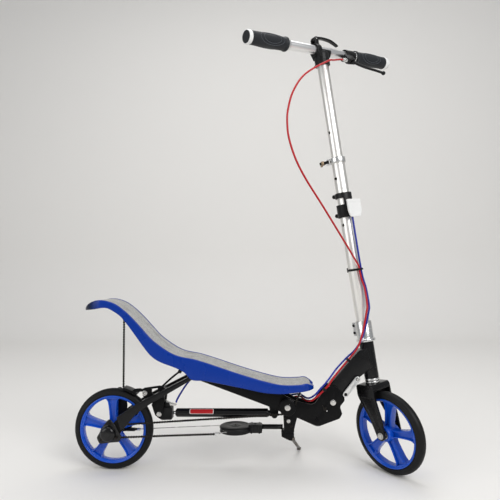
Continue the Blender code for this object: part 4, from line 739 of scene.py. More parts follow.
# Hub covers: glossy domes on three-bolt flanges
hubBolts = [(2.7, 123.6), (-17, 86), (21, 91.5)]
flangeOutline = softened([(2.7, 137), (-11, 121), (-29, 90), (-22, 75), (2, 78), (27, 80), (33, 92), (18, 118)], 7, 6)
for end, side in (("Right", -1), ("Left", 1)):
    dome = [(0, side * 60.4), (5, side * 60.3), (9.5, side * 59.9), (13, side * 59.1), (15.6, side * 57.9),
        (17.3, side * 56.3), (18.2, side * 54.2), (18.5, side * 51.5), (18.9, side * 48.6), (20.3, side * 47.9),
        (20.3, side * 45.5), (9.6, side * 45.5), (9.6, side * 52), (0, side * 53)]
    cover = [spun(dome, at=(0, 0, 100), steps=64), drawnOut(flangeOutline, *spanOf(side, 44.4, 48.0), 1.0, 3),
        turnedPipe(7.0, 8.6, *spanOf(side, 59.6, 60.45), at=(0, 0, 100), ease=0.3)]
    show("hubCover" + end, cover, "cylinderPaint", node="hub_cover_" + end.lower())
    show("hubScrews" + end, [capBolt((x, 0, z), side, 47.9, 3.6, 2.4) for x, z in hubBolts], "chainSteel")
guardOutline = softened([(-17, 94), (-8, 80), (10, 80), (17, 94), (27, 150), (22, 190), (8, 197), (-6, 190),
    (-17, 150)], 8, 6)
guard = [drawnOut(guardOutline, 22.3, 25.3, 0.8), spun([(0, 25.2), (6, 25.2), (6, 33.8), (9, 33.9), (9, 35.2),
    (8.4, 35.5), (3, 35.5), (2.6, 34.6), (0, 34.6)], at=(3.8, 0, 186), steps=40)]
show("chainGuide", guard, "mouldedBlack", node="chain_guide")
print("rear frame ready")

# Side plates, front bracket and the guide for the front chain
plateSizes = {"inside": 20.0, "outside": 24.0, "edge": 0.8, "stop": 5.0, "skin": 7.5}
ceiling = [(x, heightAt(deckTop, x) - plateSizes["skin"]) for x in (240, 290, 340, 398, 412)]
lowered = [(x, z - plateSizes["stop"]) for x, z in ceiling[:3]]
plateOutline = softened(
    [(204, 240), (212, 226), (229, 220), (387.6, 161), (418, 148), (428, 138), (462, 132), (508, 111.5), (562, 131.5),
     (568, 143), (563, 160), (575, 175), (573, 187), (552, 211), (530, 206), (500, 163.5), (456, 173), (424, 190),
     (ceiling[4][0], ceiling[4][1] - 0.3), (ceiling[3][0], ceiling[3][1] - 0.3), (388, ceiling[3][1] - 5),
     lowered[2], lowered[1], lowered[0], (216, 258), (204, 252)],
    [9, 9, 12, 30, 14, 8, 12, 20, 8, 6, 8, 8, 8, 12, 14, 18, 30, 8, 0, 0, 4, 0, 0, 0, 9, 8], 6)
for end, side in (("Right", -1), ("Left", 1)):
    low, high = spanOf(side, plateSizes["inside"], plateSizes["outside"])
    plate = carved(drawnOut(plateOutline, low, high), turnedRod(2.4, low - 3, high + 3, at=(507, 0, 132)),
        turnedRod(5.3, low - 3, high + 3, at=(546.5, 0, 170)), turnedRod(5.3, low - 3, high + 3, at=(215, 0, 246)))
    roundEdges(plate, plateSizes["edge"], 2, 50)
    show("sidePlate" + end, plate, "framePaint", node="side_plate_" + end.lower())
latchBits = [hexBolt((526.7, 0, 154.6), -1, 24.0, 3.2, 2.4, 4.6),
    placed(turnedRod(1.3, -8, 6, "X", ease=0.4), moved((524, -25.4, 158)) @ turned(58, "Y"))]
show("latchScrews", latchBits, "chainSteel")
# A small bright steel stub beside the dark latch screw, set where the screw shows a glint: a painted highlight.
show("latchScrewPaintedHighlight", [turnedRod(1.7, -27.6, -26, at=(531, 0, 150.5), ease=0.6),
    turnedRod(1.4, -25.4, -23.5, at=(531, 0, 150.5))], "brightSteel")
clipTurn = moved((526, -26.8, 201.5)) @ turned(-45, "Y")
show("cableClipLow", placed(turnedPipe(2.6, 4.6, -3.5, 3.5, "X", ease=0.5), clipTurn), "mouldedBlack")

frontBlock = softened([(425, 150), (458, 150), (461, 140), (450, 97), (427, 97)], 3, 4)
footBlock = softened([(420, 99), (450, 99), (449, 83), (446, 74.8), (440, 74.8), (420.5, 84)], 2, 4)
bracketBody = carved(drawnOut(frontBlock, -19.7, 19.7), block(400, 446, -14.7, 14.7, 113, 160, 0))
roundEdges(bracketBody, 0.9, 2, 50)
bracketFoot = [drawnOut(footBlock, -13, 13, 1.6, 3), block(438, 452, 10, 31, 74.8, 86, 1.2),
    block(422, 452, -14.6, 14.6, 96.2, 98.6, 0.9)]
show("frontBracket", [bracketBody, *bracketFoot], "framePaint", node="front_bracket")
show("bracketBolt", hexBolt((438, 0, 124), -1, 19.7, 3.4, 2.2, 4.6), "brightSteel")
show("bracketPin", capBolt((445, 0, 112), -1, 19.6, 3.4, 1.8), "chainSteel")

guideAt = (436, 0, 162)
guideDisc = [(0, -44.6), (6.5, -44.6), (7.2, -44.9), (9.2, -45), (16.8, -45), (18.4, -44.7), (19.5, -43.9),
    (20, -42.6), (20, -38), (19.6, -36.6), (18.6, -36), (0, -36)]
show("guideDisc", spun(guideDisc, at=guideAt, steps=72), "framePaint", node="guide_cover")
show("guideBolt", [hexBolt(guideAt, -1, 44.7, 5.2, 3.4, 7.0), turnedRod(4, -40, -24.4, at=guideAt)], "brightSteel")


# A sprocket: a disc with a rounded tooth for every link, and a hub.
def toothed(centre, pitch, teeth, low, high):
    outline = []
    for k in range(teeth):
        for share, reach in ((0.0, -2.6), (0.22, -2.3), (0.36, 0.6), (0.5, 1.5), (0.64, 0.6), (0.78, -2.3)):
            angle = 2 * pi * (k + share) / teeth
            outline.append((centre[0] + (pitch + reach) * cos(angle), centre[2] + (pitch + reach) * sin(angle)))
    middle = (low + high) / 2
    disc = drawnOut(outline, middle - 1.1, middle + 1.1, 0.25, 1)
    return joined(disc, turnedRod(pitch * 0.55, low, high, at=centre, ease=0.5))


show("guideSprocket", toothed(guideAt, 17.0, 17, -34, -28), "brightSteel", "guide_hub", scooterFrame, "guide_wheel")
show("rightSprocket", toothed((0, 0, 100), 14.2, 14, -34, -28), "brightSteel", "right_sprocket_hub", scooterFrame,
    "right_sprocket")
show("leftSprocket", toothed((0, 0, 100), 14.2, 14, 28, 34), "brightSteel", "left_sprocket_hub", scooterFrame,
    "left_sprocket")
print("plates, bracket and sprockets ready")

# Chains: outer and inner links by turns, with a roller at every pin
chain = {"pitch": 6.35, "height": 5.3, "outer": 2.5, "inner": 1.65, "plate": 0.75, "roller": 1.7}


# Two side plates and a roller, drawn from the origin along X.
def linkData(half):
    shapes = []
    tall = chain["height"] / 2
    waist = tall * 0.45
    outline = ([(x, z) for x, z in arcOf((0, 0), tall, 110, 250, 5)] + [(chain["pitch"] / 2, -waist)]
        + [(x, z) for x, z in arcOf((chain["pitch"], 0), tall, -70, 70, 5)] + [(chain["pitch"] / 2, waist)])
    for side in (-1, 1):
        shapes.append(drawnOut(outline, *spanOf(side, half - chain["plate"], half)))
    shapes.append(turnedRod(chain["roller"], -half + 0.1, half - 0.1, steps=8, ease=0.01))
    return frozen(joined(*shapes), "link")


linkKinds = [linkData(chain["outer"]), linkData(chain["inner"])]


# Links laid end to end on a line in X and Z, at the chain's own distance from the middle.
def chainAlong(points, side):
    line = [Vector(p) for p in points]
    spots, spare, here = [line[0].copy()], chain["pitch"], line[0].copy()
    for ahead in line[1:]:
        while (ahead - here).length >= spare:
            here = here + (ahead - here).normalized() * spare
            spots.append(here.copy())
            spare = chain["pitch"]
        spare -= (ahead - here).length
        here = ahead.copy()
    run = bmesh.new()
    for k, (low, high) in enumerate(zip(spots, spots[1:])):
        link = linkKinds[k % 2].copy()
        turn = Matrix.Rotation(-atan2(high.y - low.y, high.x - low.x), 4, "Y")
        link.transform(moved((low.x, side * 31, low.y)) @ turn)
        run.from_mesh(link)
        bpy.data.meshes.remove(link)
    return run


runLean = degrees(asin((18.0 + 15.0) / hypot(436, 62)))
runAngle = degrees(atan2(62, 436)) - runLean
rightRun = (arcOf((436, 162), 18, 2, runAngle - 90, 24) + arcOf((0, 100), 15, 90 + runAngle, 272, 40)
    + [(150, 91.2), (262, 95.4)])
show("rightChain", chainAlong(rightRun, -1), "chainSteel", node="right_chain")
frontRise = show("frontChain", chainAlong([(454.2, 164.5), (455.5, 169), (468, 198.2)], -1), "chainSteel", None,
    scooterFrame, "front_chain")
leftRun = [(14, 190.5), (14, 186.5)] + arcOf((0, 100), 15, 161, 270, 30) + [(24, 86.8)]
show("leftChain", chainAlong(leftRun, 1), "chainSteel", node="left_chain")
leftRise = show("leftChainRise", chainAlong([(16, 381.4), (14.3, 190.6)], 1), "chainSteel", None, scooterFrame,
    "left_chain_rise")
for piece, side, low, high in ((frontRise, -31, (454.2, 164.5), (468, 198.2)),
        (leftRise, 31, (14.3, 190.6), (16, 381.4))):
    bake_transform(piece)
connector = [block(23, 45, 27, 35, 84, 92, 1.4, 3), turnedRod(3.0, 43, 51, "X", (0, 31, 88.6))]
show("chainConnector", connector, "mouldedBlack")
ferrule = [turnedPipe(1.4, 3.7, 50.5, 59.2, "X", (0, 31, 88.6), ease=0.8)]
show("chainFerrule", ferrule, "castSilver")
clip = [block(258.5, 268.5, -34.6, -27.4, 91.2, 99.4, 0.9), turnedRod(2.0, 266, 272, "X", (0, -31, 96.2))]
show("chainClip", clip, "castSilver")
wireTurn = [(307 + 32.7 * cos(a), 32.7 * sin(a), 100) for a in (radians(-90 + 7.5 * k) for k in range(25))]
wire = alongLine([(263, -31, 95.6), (278, -31, 99.3), (290, -32, 100), *wireTurn, (170, 31, 94.5), (60, 31, 89),
    (52, 31, 88.6)], 1.2, 8)
show("returnWire", wire, "brightSteel", node="return_cable")
print("chains ready")

# Cable pulley in its housing, on a rod from the front bracket
housing = {"at": (307, 0, 0), "radius": 40.0}
lowerHalf = [(0, 92.6), (30, 92.6), (36, 93.0), (38.8, 94.0), (39.8, 95.4), (39.8, 97.2), (38.6, 97.8), (37.6, 98.0),
    (20, 98.0), (0, 98.0)]
upperHalf = [(0, 102.6), (20, 102.6), (37.6, 102.6), (39.2, 102.9), (40, 103.8), (40, 105.6), (39.2, 107.3),
    (37, 108.6), (33, 109.1), (22, 109.3), (20.5, 108.8), (12, 108.6), (10.6, 109.3), (6, 109.4), (5, 108.7),
    (0, 108.7)]
wallOutline = arcOf((307, 0), 39.4, -118, 118, 48) + list(reversed(arcOf((307, 0), 36.6, -118, 118, 48)))
ribOutline = arcOf((307, 0), 30.5, 20, 150, 30) + list(reversed(arcOf((307, 0), 28.3, 20, 150, 30)))
pulleyShapes = [spun(lowerHalf, "Z", housing["at"], 72), spun(upperHalf, "Z", housing["at"], 72),
    lying(wallOutline, 96.8, 103.8, 0.4), lying(ribOutline, 108.4, 110.4, 0.5),
    block(339, 373, -14, 14, 92, 112, 3.2, 4), block(345, 349, -14.8, 14.8, 91.4, 112.6, 1.0),
    block(364, 368, -14.8, 14.8, 91.4, 112.6, 1.0)]
show("pulleyHousing", pulleyShapes, "mouldedBlack", node="pulley_housing")
show("tensionRod", turnedRod(6, 370, 424, "X", (0, 0, 105), ease=1.0), "tubePaint")
show("pulleyScrew", [capBolt((307, 0, 0), 1, 108.6, 3.6, 1.6, "Z"), capBolt((356, 0, 0), 1, 111.8, 3.2, 1.4, "Z")],
    "chainSteel")
dress("cable_pulley", "brightSteel")
print("pulley ready")

# Gas strut: release head, chrome rod, glossy cylinder with its plain label
strutHead = [drawnOut(softened([(110.5, 131), (110.5, 147), (123, 154), (149, 154), (149, 124), (124, 123)],
    [5, 5, 3, 3, 3, 4], 4), -12, 12, 1.4, 3)]
ear = softened([(128, 150), (144, 150), (141, 165), (131, 165)], 3, 4)
strutHead += bothSides(lambda side: drawnOut(ear, *spanOf(side, 4.6, 7.5), 0.5))
show("strutHead", strutHead, "mouldedBlack", "strut", scooterFrame, "gas_rod")
show("strutRod", [turnedRod(4, 145, 330, "X", (0, 0, 139)), turnedRod(1.8, -7, 7, at=(136, 0, 160.5))], "chromeRod",
    "strut", scooterFrame)
show("releaseLever", drawnOut(softened([(126, 169), (131, 156.6), (140, 156.2), (158, 156.6), (159, 160), (141, 165),
    (131, 171)], [2, 3, 3, 1, 1, 6, 2], 4), -4.2, 4.2, 0.7), "brightSteel", "release", scooterFrame, "release_lever")
cylinderLine = [(0, 340), (4.3, 340), (4.3, 156.5), (6.6, 156.5), (7.5, 157), (8.2, 158.2), (9.6, 158.9),
    (10.4, 159.8), (10.7, 161.4), (10.7, 385), (10.3, 387), (9.0, 388), (0, 388)]
cylinderShapes = [spun(cylinderLine, "X", (0, 0, 139), 64), turnedRod(6.5, 386, 400, "X", (0, 0, 139)),
    turnedPipe(5.2, 8.5, -12.7, 12.7, at=(404, 0, 139), ease=0.8)]
show("gasCylinder", cylinderShapes, "cylinderPaint", "strut_slide", scooterFrame, "gas_cylinder")


# A thin patch bent round the cylinder, on the side that faces out to the right.
def label(low, high, spread, lift):
    patch = bmesh.new()
    bmesh.ops.create_grid(patch, x_segments=24, y_segments=16, size=1)
    for vert in patch.verts:
        angle = radians(spread) * vert.co.y
        corner = max(abs(vert.co.y) - 0.6, 0) / 0.4
        along = low + (high - low) * (vert.co.x * (1 - corner ** 2 * 0.07) + 1) / 2
        angle += radians(32)
        vert.co = Vector((along, -(10.7 + lift) * cos(angle), 139 + (10.7 + lift) * sin(angle)))
    bmesh.ops.solidify(patch, geom=patch.faces, thickness=-0.08)
    bmesh.ops.recalc_face_normals(patch, faces=patch.faces)
    return patch


show("cylinderLabelBorder", label(193, 253, 36, 0.06), "labelWhite", "strut_slide", scooterFrame)
show("cylinderLabel", label(194.4, 251.6, 31, 0.18), "labelRed", "strut_slide", scooterFrame)
print("strut ready")

# Brake arm with its shoe, and the stand
shoeOutline = arcOf((0, 100), 101.3, 76, 55, 20) + arcOf((0, 100), 106.9, 55, 76, 20)
armOutline = ([(46, 193.5)] + softened([(50, 199.5), (62, 198.5), (75, 202)], [3, 6, 2], 4)
    + arcOf((83.8, 191.8), 7.5, 70, -130, 20) + [(75.8, 194.5), (62, 193.2), (54, 187.5)])
armShapes = [drawnOut(shoeOutline, -16.4, 16.4, 1.2, 3), drawnOut(armOutline, -16.4, -11.6, 1.0, 3),
    turnedRod(1.8, -18.6, -14, at=(56, 0, 195.2), ease=0.5)]
show("brakeArm", armShapes, "framePaint", "brake", scooterFrame, "brake_arm")

standTop = Vector((448.0, 23.0, 68.0))
toPlace = scooterFrame.inverted()
footLow = toPlace @ Vector(((scooterFrame @ Vector((467, 130, 0))).x, (scooterFrame @ Vector((467, 130, 0))).y, 0.0))
footUp = (toPlace.to_3x3() @ Vector((0, 0, 1))).normalized()
footMid = footLow + footUp * 4.5
legWay = footMid - standTop
kneePoint = standTop + legWay * 0.9
legShapes = [alongLine(smoothLine([standTop + legWay.normalized() * 4, standTop + legWay * 0.3, standTop
    + legWay * 0.6, kneePoint, footMid], 5), 4.0, 24)]
footTurn = moved(footLow) @ footUp.to_track_quat("Z", "Y").to_matrix().to_4x4()
legShapes.append(placed(turnedRod(5.6, 0, 6, "Z", ease=1.5), footTurn))
pinWay = legWay.cross(Vector((-1, 0, 0))).normalized()
pinTurn = moved(standTop) @ pinWay.to_track_quat("Z", "Y").to_matrix().to_4x4()
legShapes.append(placed(turnedRod(6, -4, 4, "Z", ease=0.8), pinTurn))
show("standLeg", legShapes, "standSteel", "stand", scooterFrame, "kickstand_leg")
print("brake and stand ready")

# Fold joint: bolt, head tube, down tube and the latch link
foldAt = (546.5, 0, 170)
latchTop, latchLow = (606.0, 226.0), (577.0, 190.0)
foldShapes = [turnedRod(5, -24.6, 24.6, at=foldAt), hexBolt(foldAt, -1, 24.3, 5.2, 3.5, 7.0),
    hexBolt(foldAt, 1, 24.3, 5.2, 3.5, 7.0)]
show("foldBolt", foldShapes, "brightSteel", node="fold_bolt")
headTube = [(15, 131), (16.6, 131), (17.4, 131.6), (17.5, 133), (17.5, 218), (17.2, 219.8), (16.4, 220.5),
    (15, 220.5)]
show("headTube", spun(headTube, "Z", steps=72, ring=True), "tubePaint", "fold", headFrame, "head_tube")
ringShapes = [turnedPipe(15, 18.3, 119.2, 124.4, "Z", steps=72, ease=0.9),
    turnedPipe(15, 18.3, 125.6, 130.7, "Z", steps=72, ease=1.2)]
show("headsetRing", ringShapes, "castSilver", "fold", headFrame, "headset_ring")
show("headsetSeal", turnedPipe(15.2, 17.5, 124.2, 125.8, "Z", steps=72, ease=0.1), "darkSeal", "fold", headFrame)
downOutline = ([(632, 301), (613, 294), (589, 268), (542, 214), (533, 200)] + arcOf((546.5, 170), 14, 170, 320, 18)
    + [(611, 228), (625, 239), (645, 254)])
headClear = placed(turnedRod(17.8, 100, 260, "Z", steps=64, ease=0.01), scooterFrame.inverted() @ headFrame)
downTube = carved(drawnOut(downOutline, -19.5, 19.5, 3.2, 4), headClear,
    turnedRod(5.3, -30, 30, at=foldAt, ease=0.01))
ringTurn = moved((585.9, -14.0, 270.8)) @ turned(-48, "Y")
tubeParts = [downTube, turnedRod(5.5, -24.3, -18.0, at=(latchTop[0], 0, latchTop[1]), ease=0.5),
    placed(turnedPipe(2.7, 5.0, -3, 3, "X", ease=0.6), ringTurn)]
show("downTube", tubeParts, "tubePaint", "fold", scooterFrame, "down_tube")
show("latchPin", turnedRod(3, -30, -22, at=(latchTop[0], 0, latchTop[1])), "brightSteel", "fold", scooterFrame)
linkAngle = degrees(atan2(latchLow[1] - latchTop[1], latchLow[0] - latchTop[0]))
linkOutline = (arcOf(latchTop, 7, linkAngle + 90, linkAngle + 270, 20)
    + arcOf(latchLow, 7, linkAngle - 90, linkAngle + 90, 20))
latchBar = carved(drawnOut(linkOutline, -28, -25), *[turnedRod(3.3, -32, -20, at=(x, 0, z), ease=0.01) for x,
    z in (latchTop, latchLow)])
show("latchLink", roundEdges(latchBar, 0.5, 2, 50), "castSilver", "latch", scooterFrame, "latch_link")
show("latchSeals", [turnedPipe(3.1, 4.0, -28.4, -24.9, at=(latchTop[0], 0, latchTop[1]), ease=0.2),
    turnedPipe(2.2, 4.0, -28.4, -24.9, at=(latchLow[0], 0, latchLow[1]), ease=0.2),
    turnedRod(2.3, -27.2, -25.2, at=(latchLow[0], 0, latchLow[1]))], "darkSeal", "latch", scooterFrame)

# Fork: pressed legs on a crown, with its steerer, and the front axle
fork = {"half": 32.0, "inside": 27.0, "crown": 104.0, "press": 1.3}
forkOutline = softened([(-26, 118.6), (22, 118.6), (26, 112), (27, 90), (37, 40), *arcOf((28, 0), 12, 20, -160, 16),
    (2, 38), (-18, 74), (-26, 92)], [5, 5, 8, 16, 12] + [0] * 16 + [14, 14, 10], 5)
pressed = softened([(-19, 88), (17, 88), (25, 52), (33.5, 16), (22.5, 14), (9, 42), (-10, 76)],
    [5, 6, 20, 4, 4, 14, 10], 5)
forkBody = carved(drawnOut(forkOutline, -fork["half"], fork["half"]), block(-60, 60, -fork["inside"], fork["inside"],
    -40, fork["crown"], 0), drawnOut(pressed, -40, -fork["half"] + fork["press"]),
    drawnOut(pressed, fork["half"] - fork["press"], 40), turnedRod(4.3, -40, 40, at=(28, 0, 0), ease=0.01))
roundEdges(forkBody, 1.0, 3, 50)
show("forkLegs", forkBody, "tubePaint", "steering", steerFrame, "fork")
show("steerer", turnedRod(14.3, 112, 268, "Z", steps=64, ease=0.6), "tubePaint", "steering", steerFrame)
axleParts = [turnedRod(4, -33, 33, at=(28, 0, 0))]
for side in (-1, 1):
    axleParts += [turnedPipe(4, 7, *spanOf(side, 20.3, 26.7), at=(28, 0, 0)),
        hexBolt((28, 0, 0), side, 32.3, 6.4, 3.7, 8.0)]
show("frontAxle", axleParts, "brightSteel", "steering", steerFrame, "front_axle")
print("fold joint and fork ready")

# Column with its clamps
column = {"tie": 403.0, "button": 630.0, "lock": 569.0, "collar": 676.5, "top": 684.0, "bar": 962.0, "travel": 118.0}
lowerTube = carved(turnedPipe(14.7, 16.5, 228.6, column["top"], "Z", steps=96, ease=0.4),
    *[turnedRod(3.6, -30, -8, "Y", (0, 0, z), ease=0.01)
    for z in (column["button"], column["button"] - column["travel"])])
show("lowerColumn", lowerTube, "columnAlloy", "steering", steerFrame, "lower_column")
collarLine = [(14.6, 220.9), (22.4, 220.9), (23.3, 221.5), (23.5, 222.6), (23.5, 225.6), (23.1, 226.8), (21.6, 227.6),
    (20.4, 228.8), (20, 230.4), (20, 269.2), (19.4, 270.6), (18.4, 271), (16.8, 271), (16.8, 228.2), (14.6, 228.2)]
collarShapes = [spun(collarLine, "Z", steps=96, ring=True), block(-31, -18, -8, -1.5, 234, 268, 1.6, 3),
    block(-31, -18, 1.5, 8, 234, 268, 1.6, 3)]
show("clampCollar", collarShapes, "castSilver", "steering", steerFrame, "clamp_collar")
show("clampBolts", [turnedRod(3.6, -9.4, 9.4, at=(-26, 0, z), ease=0.7) for z in (242, 260)], "darkSeal", "steering",
    steerFrame)
tieFrame = steerFrame @ moved((0, 0, column["tie"]))
strapOutline = block(17.4, 25.5, -11.5, 3, -6.5, -2, 0.9, 2)
tieParts = [turnedPipe(16.8, 18.4, -7, -1.5, "Z", steps=64), block(-23.5, -17.3, -4, 4, -9.5, 2.5, 1.2, 3),
    carved(strapOutline, turnedRod(2.6, -20, 20, "Z", (21.5, -7.5, 0), ease=0.01),
    turnedRod(2.6, -20, 20, "Z", (21.5, -1.0, 0), ease=0.01))]
show("zipTie", tieParts, "mouldedBlack", "steering", tieFrame, "zip_tie")

lockFrame = steerFrame @ moved((0, 0, column["lock"]))
lockEar = [(18.5, -3.6), *arcOf((25, 0), 3.6, -88, 88, 12), (18.5, 3.6)]
lockBands = carved(turnedPipe(16.8, 21, -38, 24, "Z", steps=80, ease=1.4), block(-40, 14, -40, 40, -6, 11, 0))
lockShapes = [lockBands, drawnOut(lockEar, -10.5, -7.5, 0.5), drawnOut(lockEar, 7.5, 10.5, 0.5),
    turnedRod(4.2, -38, -29, "Z", (22.5, -4.9, 0)), turnedRod(2, -9, 9, at=(25, 0, 0))]
for z in (19, -30):
    lockShapes += [turnedRod(5.2, -12, 12, at=(-22.5, 0, z), ease=1.6),
        turnedPipe(2.4, 4.3, -12.6, -11, at=(-22.5, 0, z))]
show("lockClamp", lockShapes, "mouldedBlack", "steering", lockFrame, "lock_clamp")
coverOutline = softened([(-24, -25), (-19, -41), (16, -41), (22, -25), (22, 3), (-24, 3)], [10, 10, 10, 10, 2, 2], 7)
coverFace = Matrix(((0, 0, 1, 29.4), (1, 0, 0, 0), (0, 1, 0, 0), (0, 0, 0, 1)))
coverInset = softened([(-19, -23), (-15, -36), (12.5, -36), (17, -23), (17, -3), (-19, -3)], [8, 8, 8, 8, 2, 2], 6)
shield = carved(lying(coverOutline, 0, 4), lying(coverInset, 3.4, 8))
coverShapes = [placed(roundEdges(shield, 0.7, 3, 50), coverFace), block(25, 30.5, -7, 7, -3, 3, 0.8),
    turnedPipe(2.3, 3.8, -7, 7, at=(25, 0, 0))]
show("lockCover", coverShapes, "whiteCover", "lock", lockFrame, "lock_lever")

armTurn = turned(217, "Z")
heightFrame = steerFrame @ moved((0, 0, column["collar"]))
heightShapes = [turnedPipe(16.8, 19.5, -7, 7, "Z", steps=80, ease=1.0),
    placed(block(18, 30, -4.5, 4.5, -7, -4, 0.7), armTurn), placed(block(18, 30, -4.5, 4.5, 4, 7, 0.7), armTurn),
    placed(turnedRod(2, -7.2, 7.2, "Z", (26, 0, 0)), armTurn)]
show("heightCollar", heightShapes, "castSilver", "steering", heightFrame, "height_collar")
camOutline = softened([(21.8, -4), (30, -4), (46, -3), (46, 3), (30, 4), (21.8, 4)], [3, 2, 2, 2, 2, 3], 5)
show("collarLever", lying(camOutline, -3.6, 3.6, 0.9, 3), "mouldedBlack", "collar", heightFrame @ armTurn,
    "collar_lever")
show("collarRoller", [turnedRod(4.6, -5.2, 5.2, "Z", (38, 0, 0), ease=0.8),
    turnedRod(3.0, -8.4, -4.8, "Z", (42, 0, 0), ease=0.8)], "bronzeClip", "collar", heightFrame @ armTurn)
show("snapButton", turnedRod(3.3, -19.5, -15, "Y", (0, 0, column["button"]), ease=1.4), "chainSteel", "button",
    steerFrame, "snap_button")

upperTube = carved(turnedPipe(12.3, 14.3, column["button"] - 105, column["bar"] - 14, "Z", steps=96, ease=0.4),
    *[turnedRod(3.6, -30, -8, "Y", (0, 0, z), ease=0.01)
    for z in (column["button"], column["button"] + column["travel"])])
show("upperColumn", upperTube, "columnAlloy", "height", steerFrame, "upper_column")
print("column ready")

# Stem clamp, bar and grips
barFrame = steerFrame @ moved((0, 0, column["bar"]))
socket = [(0, -14), (14.6, -14), (14.6, -40), (17.8, -40), (18.8, -39.4), (19, -38), (19, -31), (18.4, -30.4),
    (18.4, -28.6), (19, -28), (19, -12), (18.6, -8), (17.2, -5.6), (15, -5), (0, -5)]
barBore = turnedRod(11.4, -40, 40, steps=80, ease=0.01)
stemBody = carved(spun(socket, "Z", steps=80), block(-40, -12, -0.8, 0.8, -44, -8, 0), barBore.copy())
sideTurn = turned(90, "Z")
saddleOutline = softened([(-23, -1), (23.5, -1), (23.5, -8), (15, -23), (-15, -23), (-23, -8)], [1, 1, 3, 6, 6, 3], 5)
saddle = carved(placed(drawnOut(saddleOutline, -14.5, 14.5, 2.2, 4), sideTurn), barBore,
    turnedRod(14.6, -60, -14, "Z", steps=64, ease=0.01))
stemShapes = [stemBody, saddle, turnedPipe(11.4, 15.5, -24, -8, steps=80, ease=1.6)]
earOutline = softened([(-22, 7), (-9.5, 7), (-9.5, 26), (-12, 33), (-19, 33), (-22, 26)], [1, 3, 3, 4, 4, 3], 5)
stemShapes += [placed(drawnOut(earOutline, *spanOf(side, 5, 8.5), 0.6), sideTurn) for side in (-1, 1)]
stemShapes += [turnedRod(3, -9, 9, at=(-19.5, 0, z), ease=0.9) for z in (-16, -34)]
show("stemClamp", stemShapes, "mouldedBlack", "height", barFrame, "stem_clamp")
stemBolts = [turnedRod(2, -8.8, 8.8, "X", (0, -15.6, 28)),
    *[turnedRod(1.7, -9.6, 9.6, at=(-19.5, 0, z)) for z in (-16, -34)]]
show("stemBolts", stemBolts, "brightSteel", "height", barFrame)
show("handlebar", turnedPipe(9.1, 11.1, -233, 245, steps=72, ease=0.4), "barAlloy", "height", barFrame, "handlebar")
grips = {"radius": 15.8, "swell": 1.1, "ovalLong": 36.0, "ovalHigh": 15.5, "rings": (1.0, 0.72)}


# The held part swells a little towards its middle.
def swellAt(along, length, lift):
    return grips["radius"] + grips["swell"] * sin(pi * min(max((along - 10) / (length - 26), 0), 1)) + lift


# Two raised ovals on the front and on the back of a grip.
def ridgeMesh(side, inner, outer):
    lines = []
    middle = (inner + outer - 16) / 2
    for way in (0, pi):
        for ring in grips["rings"]:
            points = []
            for k in range(49):
                turn = 2 * pi * k / 48
                along = middle + ring * grips["ovalLong"] * cos(turn)
                around = ring * grips["ovalHigh"] * sin(turn) / grips["radius"]
                reach = swellAt(along - inner, outer - inner, 0.15)
                points.append((reach * cos(way + around), side * along, reach * sin(way + around)))
            lines.append(alongLine(points, 0.75, 8))
    return joined(*lines)


# A moulded grip: wide inner flange, held part and a closed end.
def gripMesh(side, inner, outer, end):
    line = [(0, end + 0.4), (11.4, end + 0.4), (11.4, inner), (16.7, inner), (17.5, inner + 0.9), (17.5, inner + 4.4),
        (17.1, inner + 5.4), (16, inner + 7.6)]
    steps = 84
    line += [(grips["radius"], inner + 10 + (outer - 26 - inner) * k / steps) for k in range(steps + 1)]
    line += [(16.3, outer - 12), (16.4, outer - 10), (16.4, outer - 3.4), (15.9, outer - 1.4), (14.5, outer - 0.2),
        (13.2, outer), (0, outer)]
    mesh = bmesh.new()
    turn = [mesh.verts.new((radius, 0, side * along)) for radius, along in line]
    loop = [mesh.edges.new(pair) for pair in zip(turn, turn[1:])]
    bmesh.ops.spin(mesh, geom=turn + loop, cent=(0, 0, 0), axis=(0, 0, 1), angle=2 * pi, steps=96, use_merge=True)
    tidied(mesh)
    for vert in mesh.verts:
        if abs(hypot(vert.co.x, vert.co.y) - grips["radius"]) < 0.1:
            lift = swellAt(abs(vert.co.z) - inner, outer - inner, 0) / grips["radius"]
            vert.co.x *= lift
            vert.co.y *= lift
    return placed(mesh, onAxis("Y"))


show("gripRight", gripMesh(-1, 118, 237, 233), "gripRubber", "height", barFrame, "grip_right")
show("gripLeft", gripMesh(1, 124.5, 251, 245), "gripRubber", "height", barFrame, "grip_left")
show("gripRidges", [ridgeMesh(-1, 118, 237), ridgeMesh(1, 124.5, 251)], "ridgeRubber", "height", barFrame)
bandLine = [(14, -236.7), (15.4, -236.9), (16.3, -236.2), (16.75, -235), (16.85, -229), (16.5, -227.8), (14, -227.8)]
show("gripBand", spun(bandLine, steps=96, ring=True), "whiteCover", "height", barFrame)
collarShapes = [turnedPipe(11.2, 14.0, -118.2, -110.2, steps=72, ease=0.8),
    turnedPipe(11.2, 14.6, 119.4, 124.8, steps=72)]
show("gripCollars", collarShapes, "castSilver", "height", barFrame)
capLine = [(0, 260.3), (9, 260.3), (12.4, 260.1), (13.6, 259.4), (15.6, 254), (16.9, 246), (16.9, 241.6), (16.3, 241),
    (10, 241), (0, 241)]
show("gripCap", spun(capLine, steps=96), "whiteCover", "height", barFrame)
print("stem, bar and grips ready")

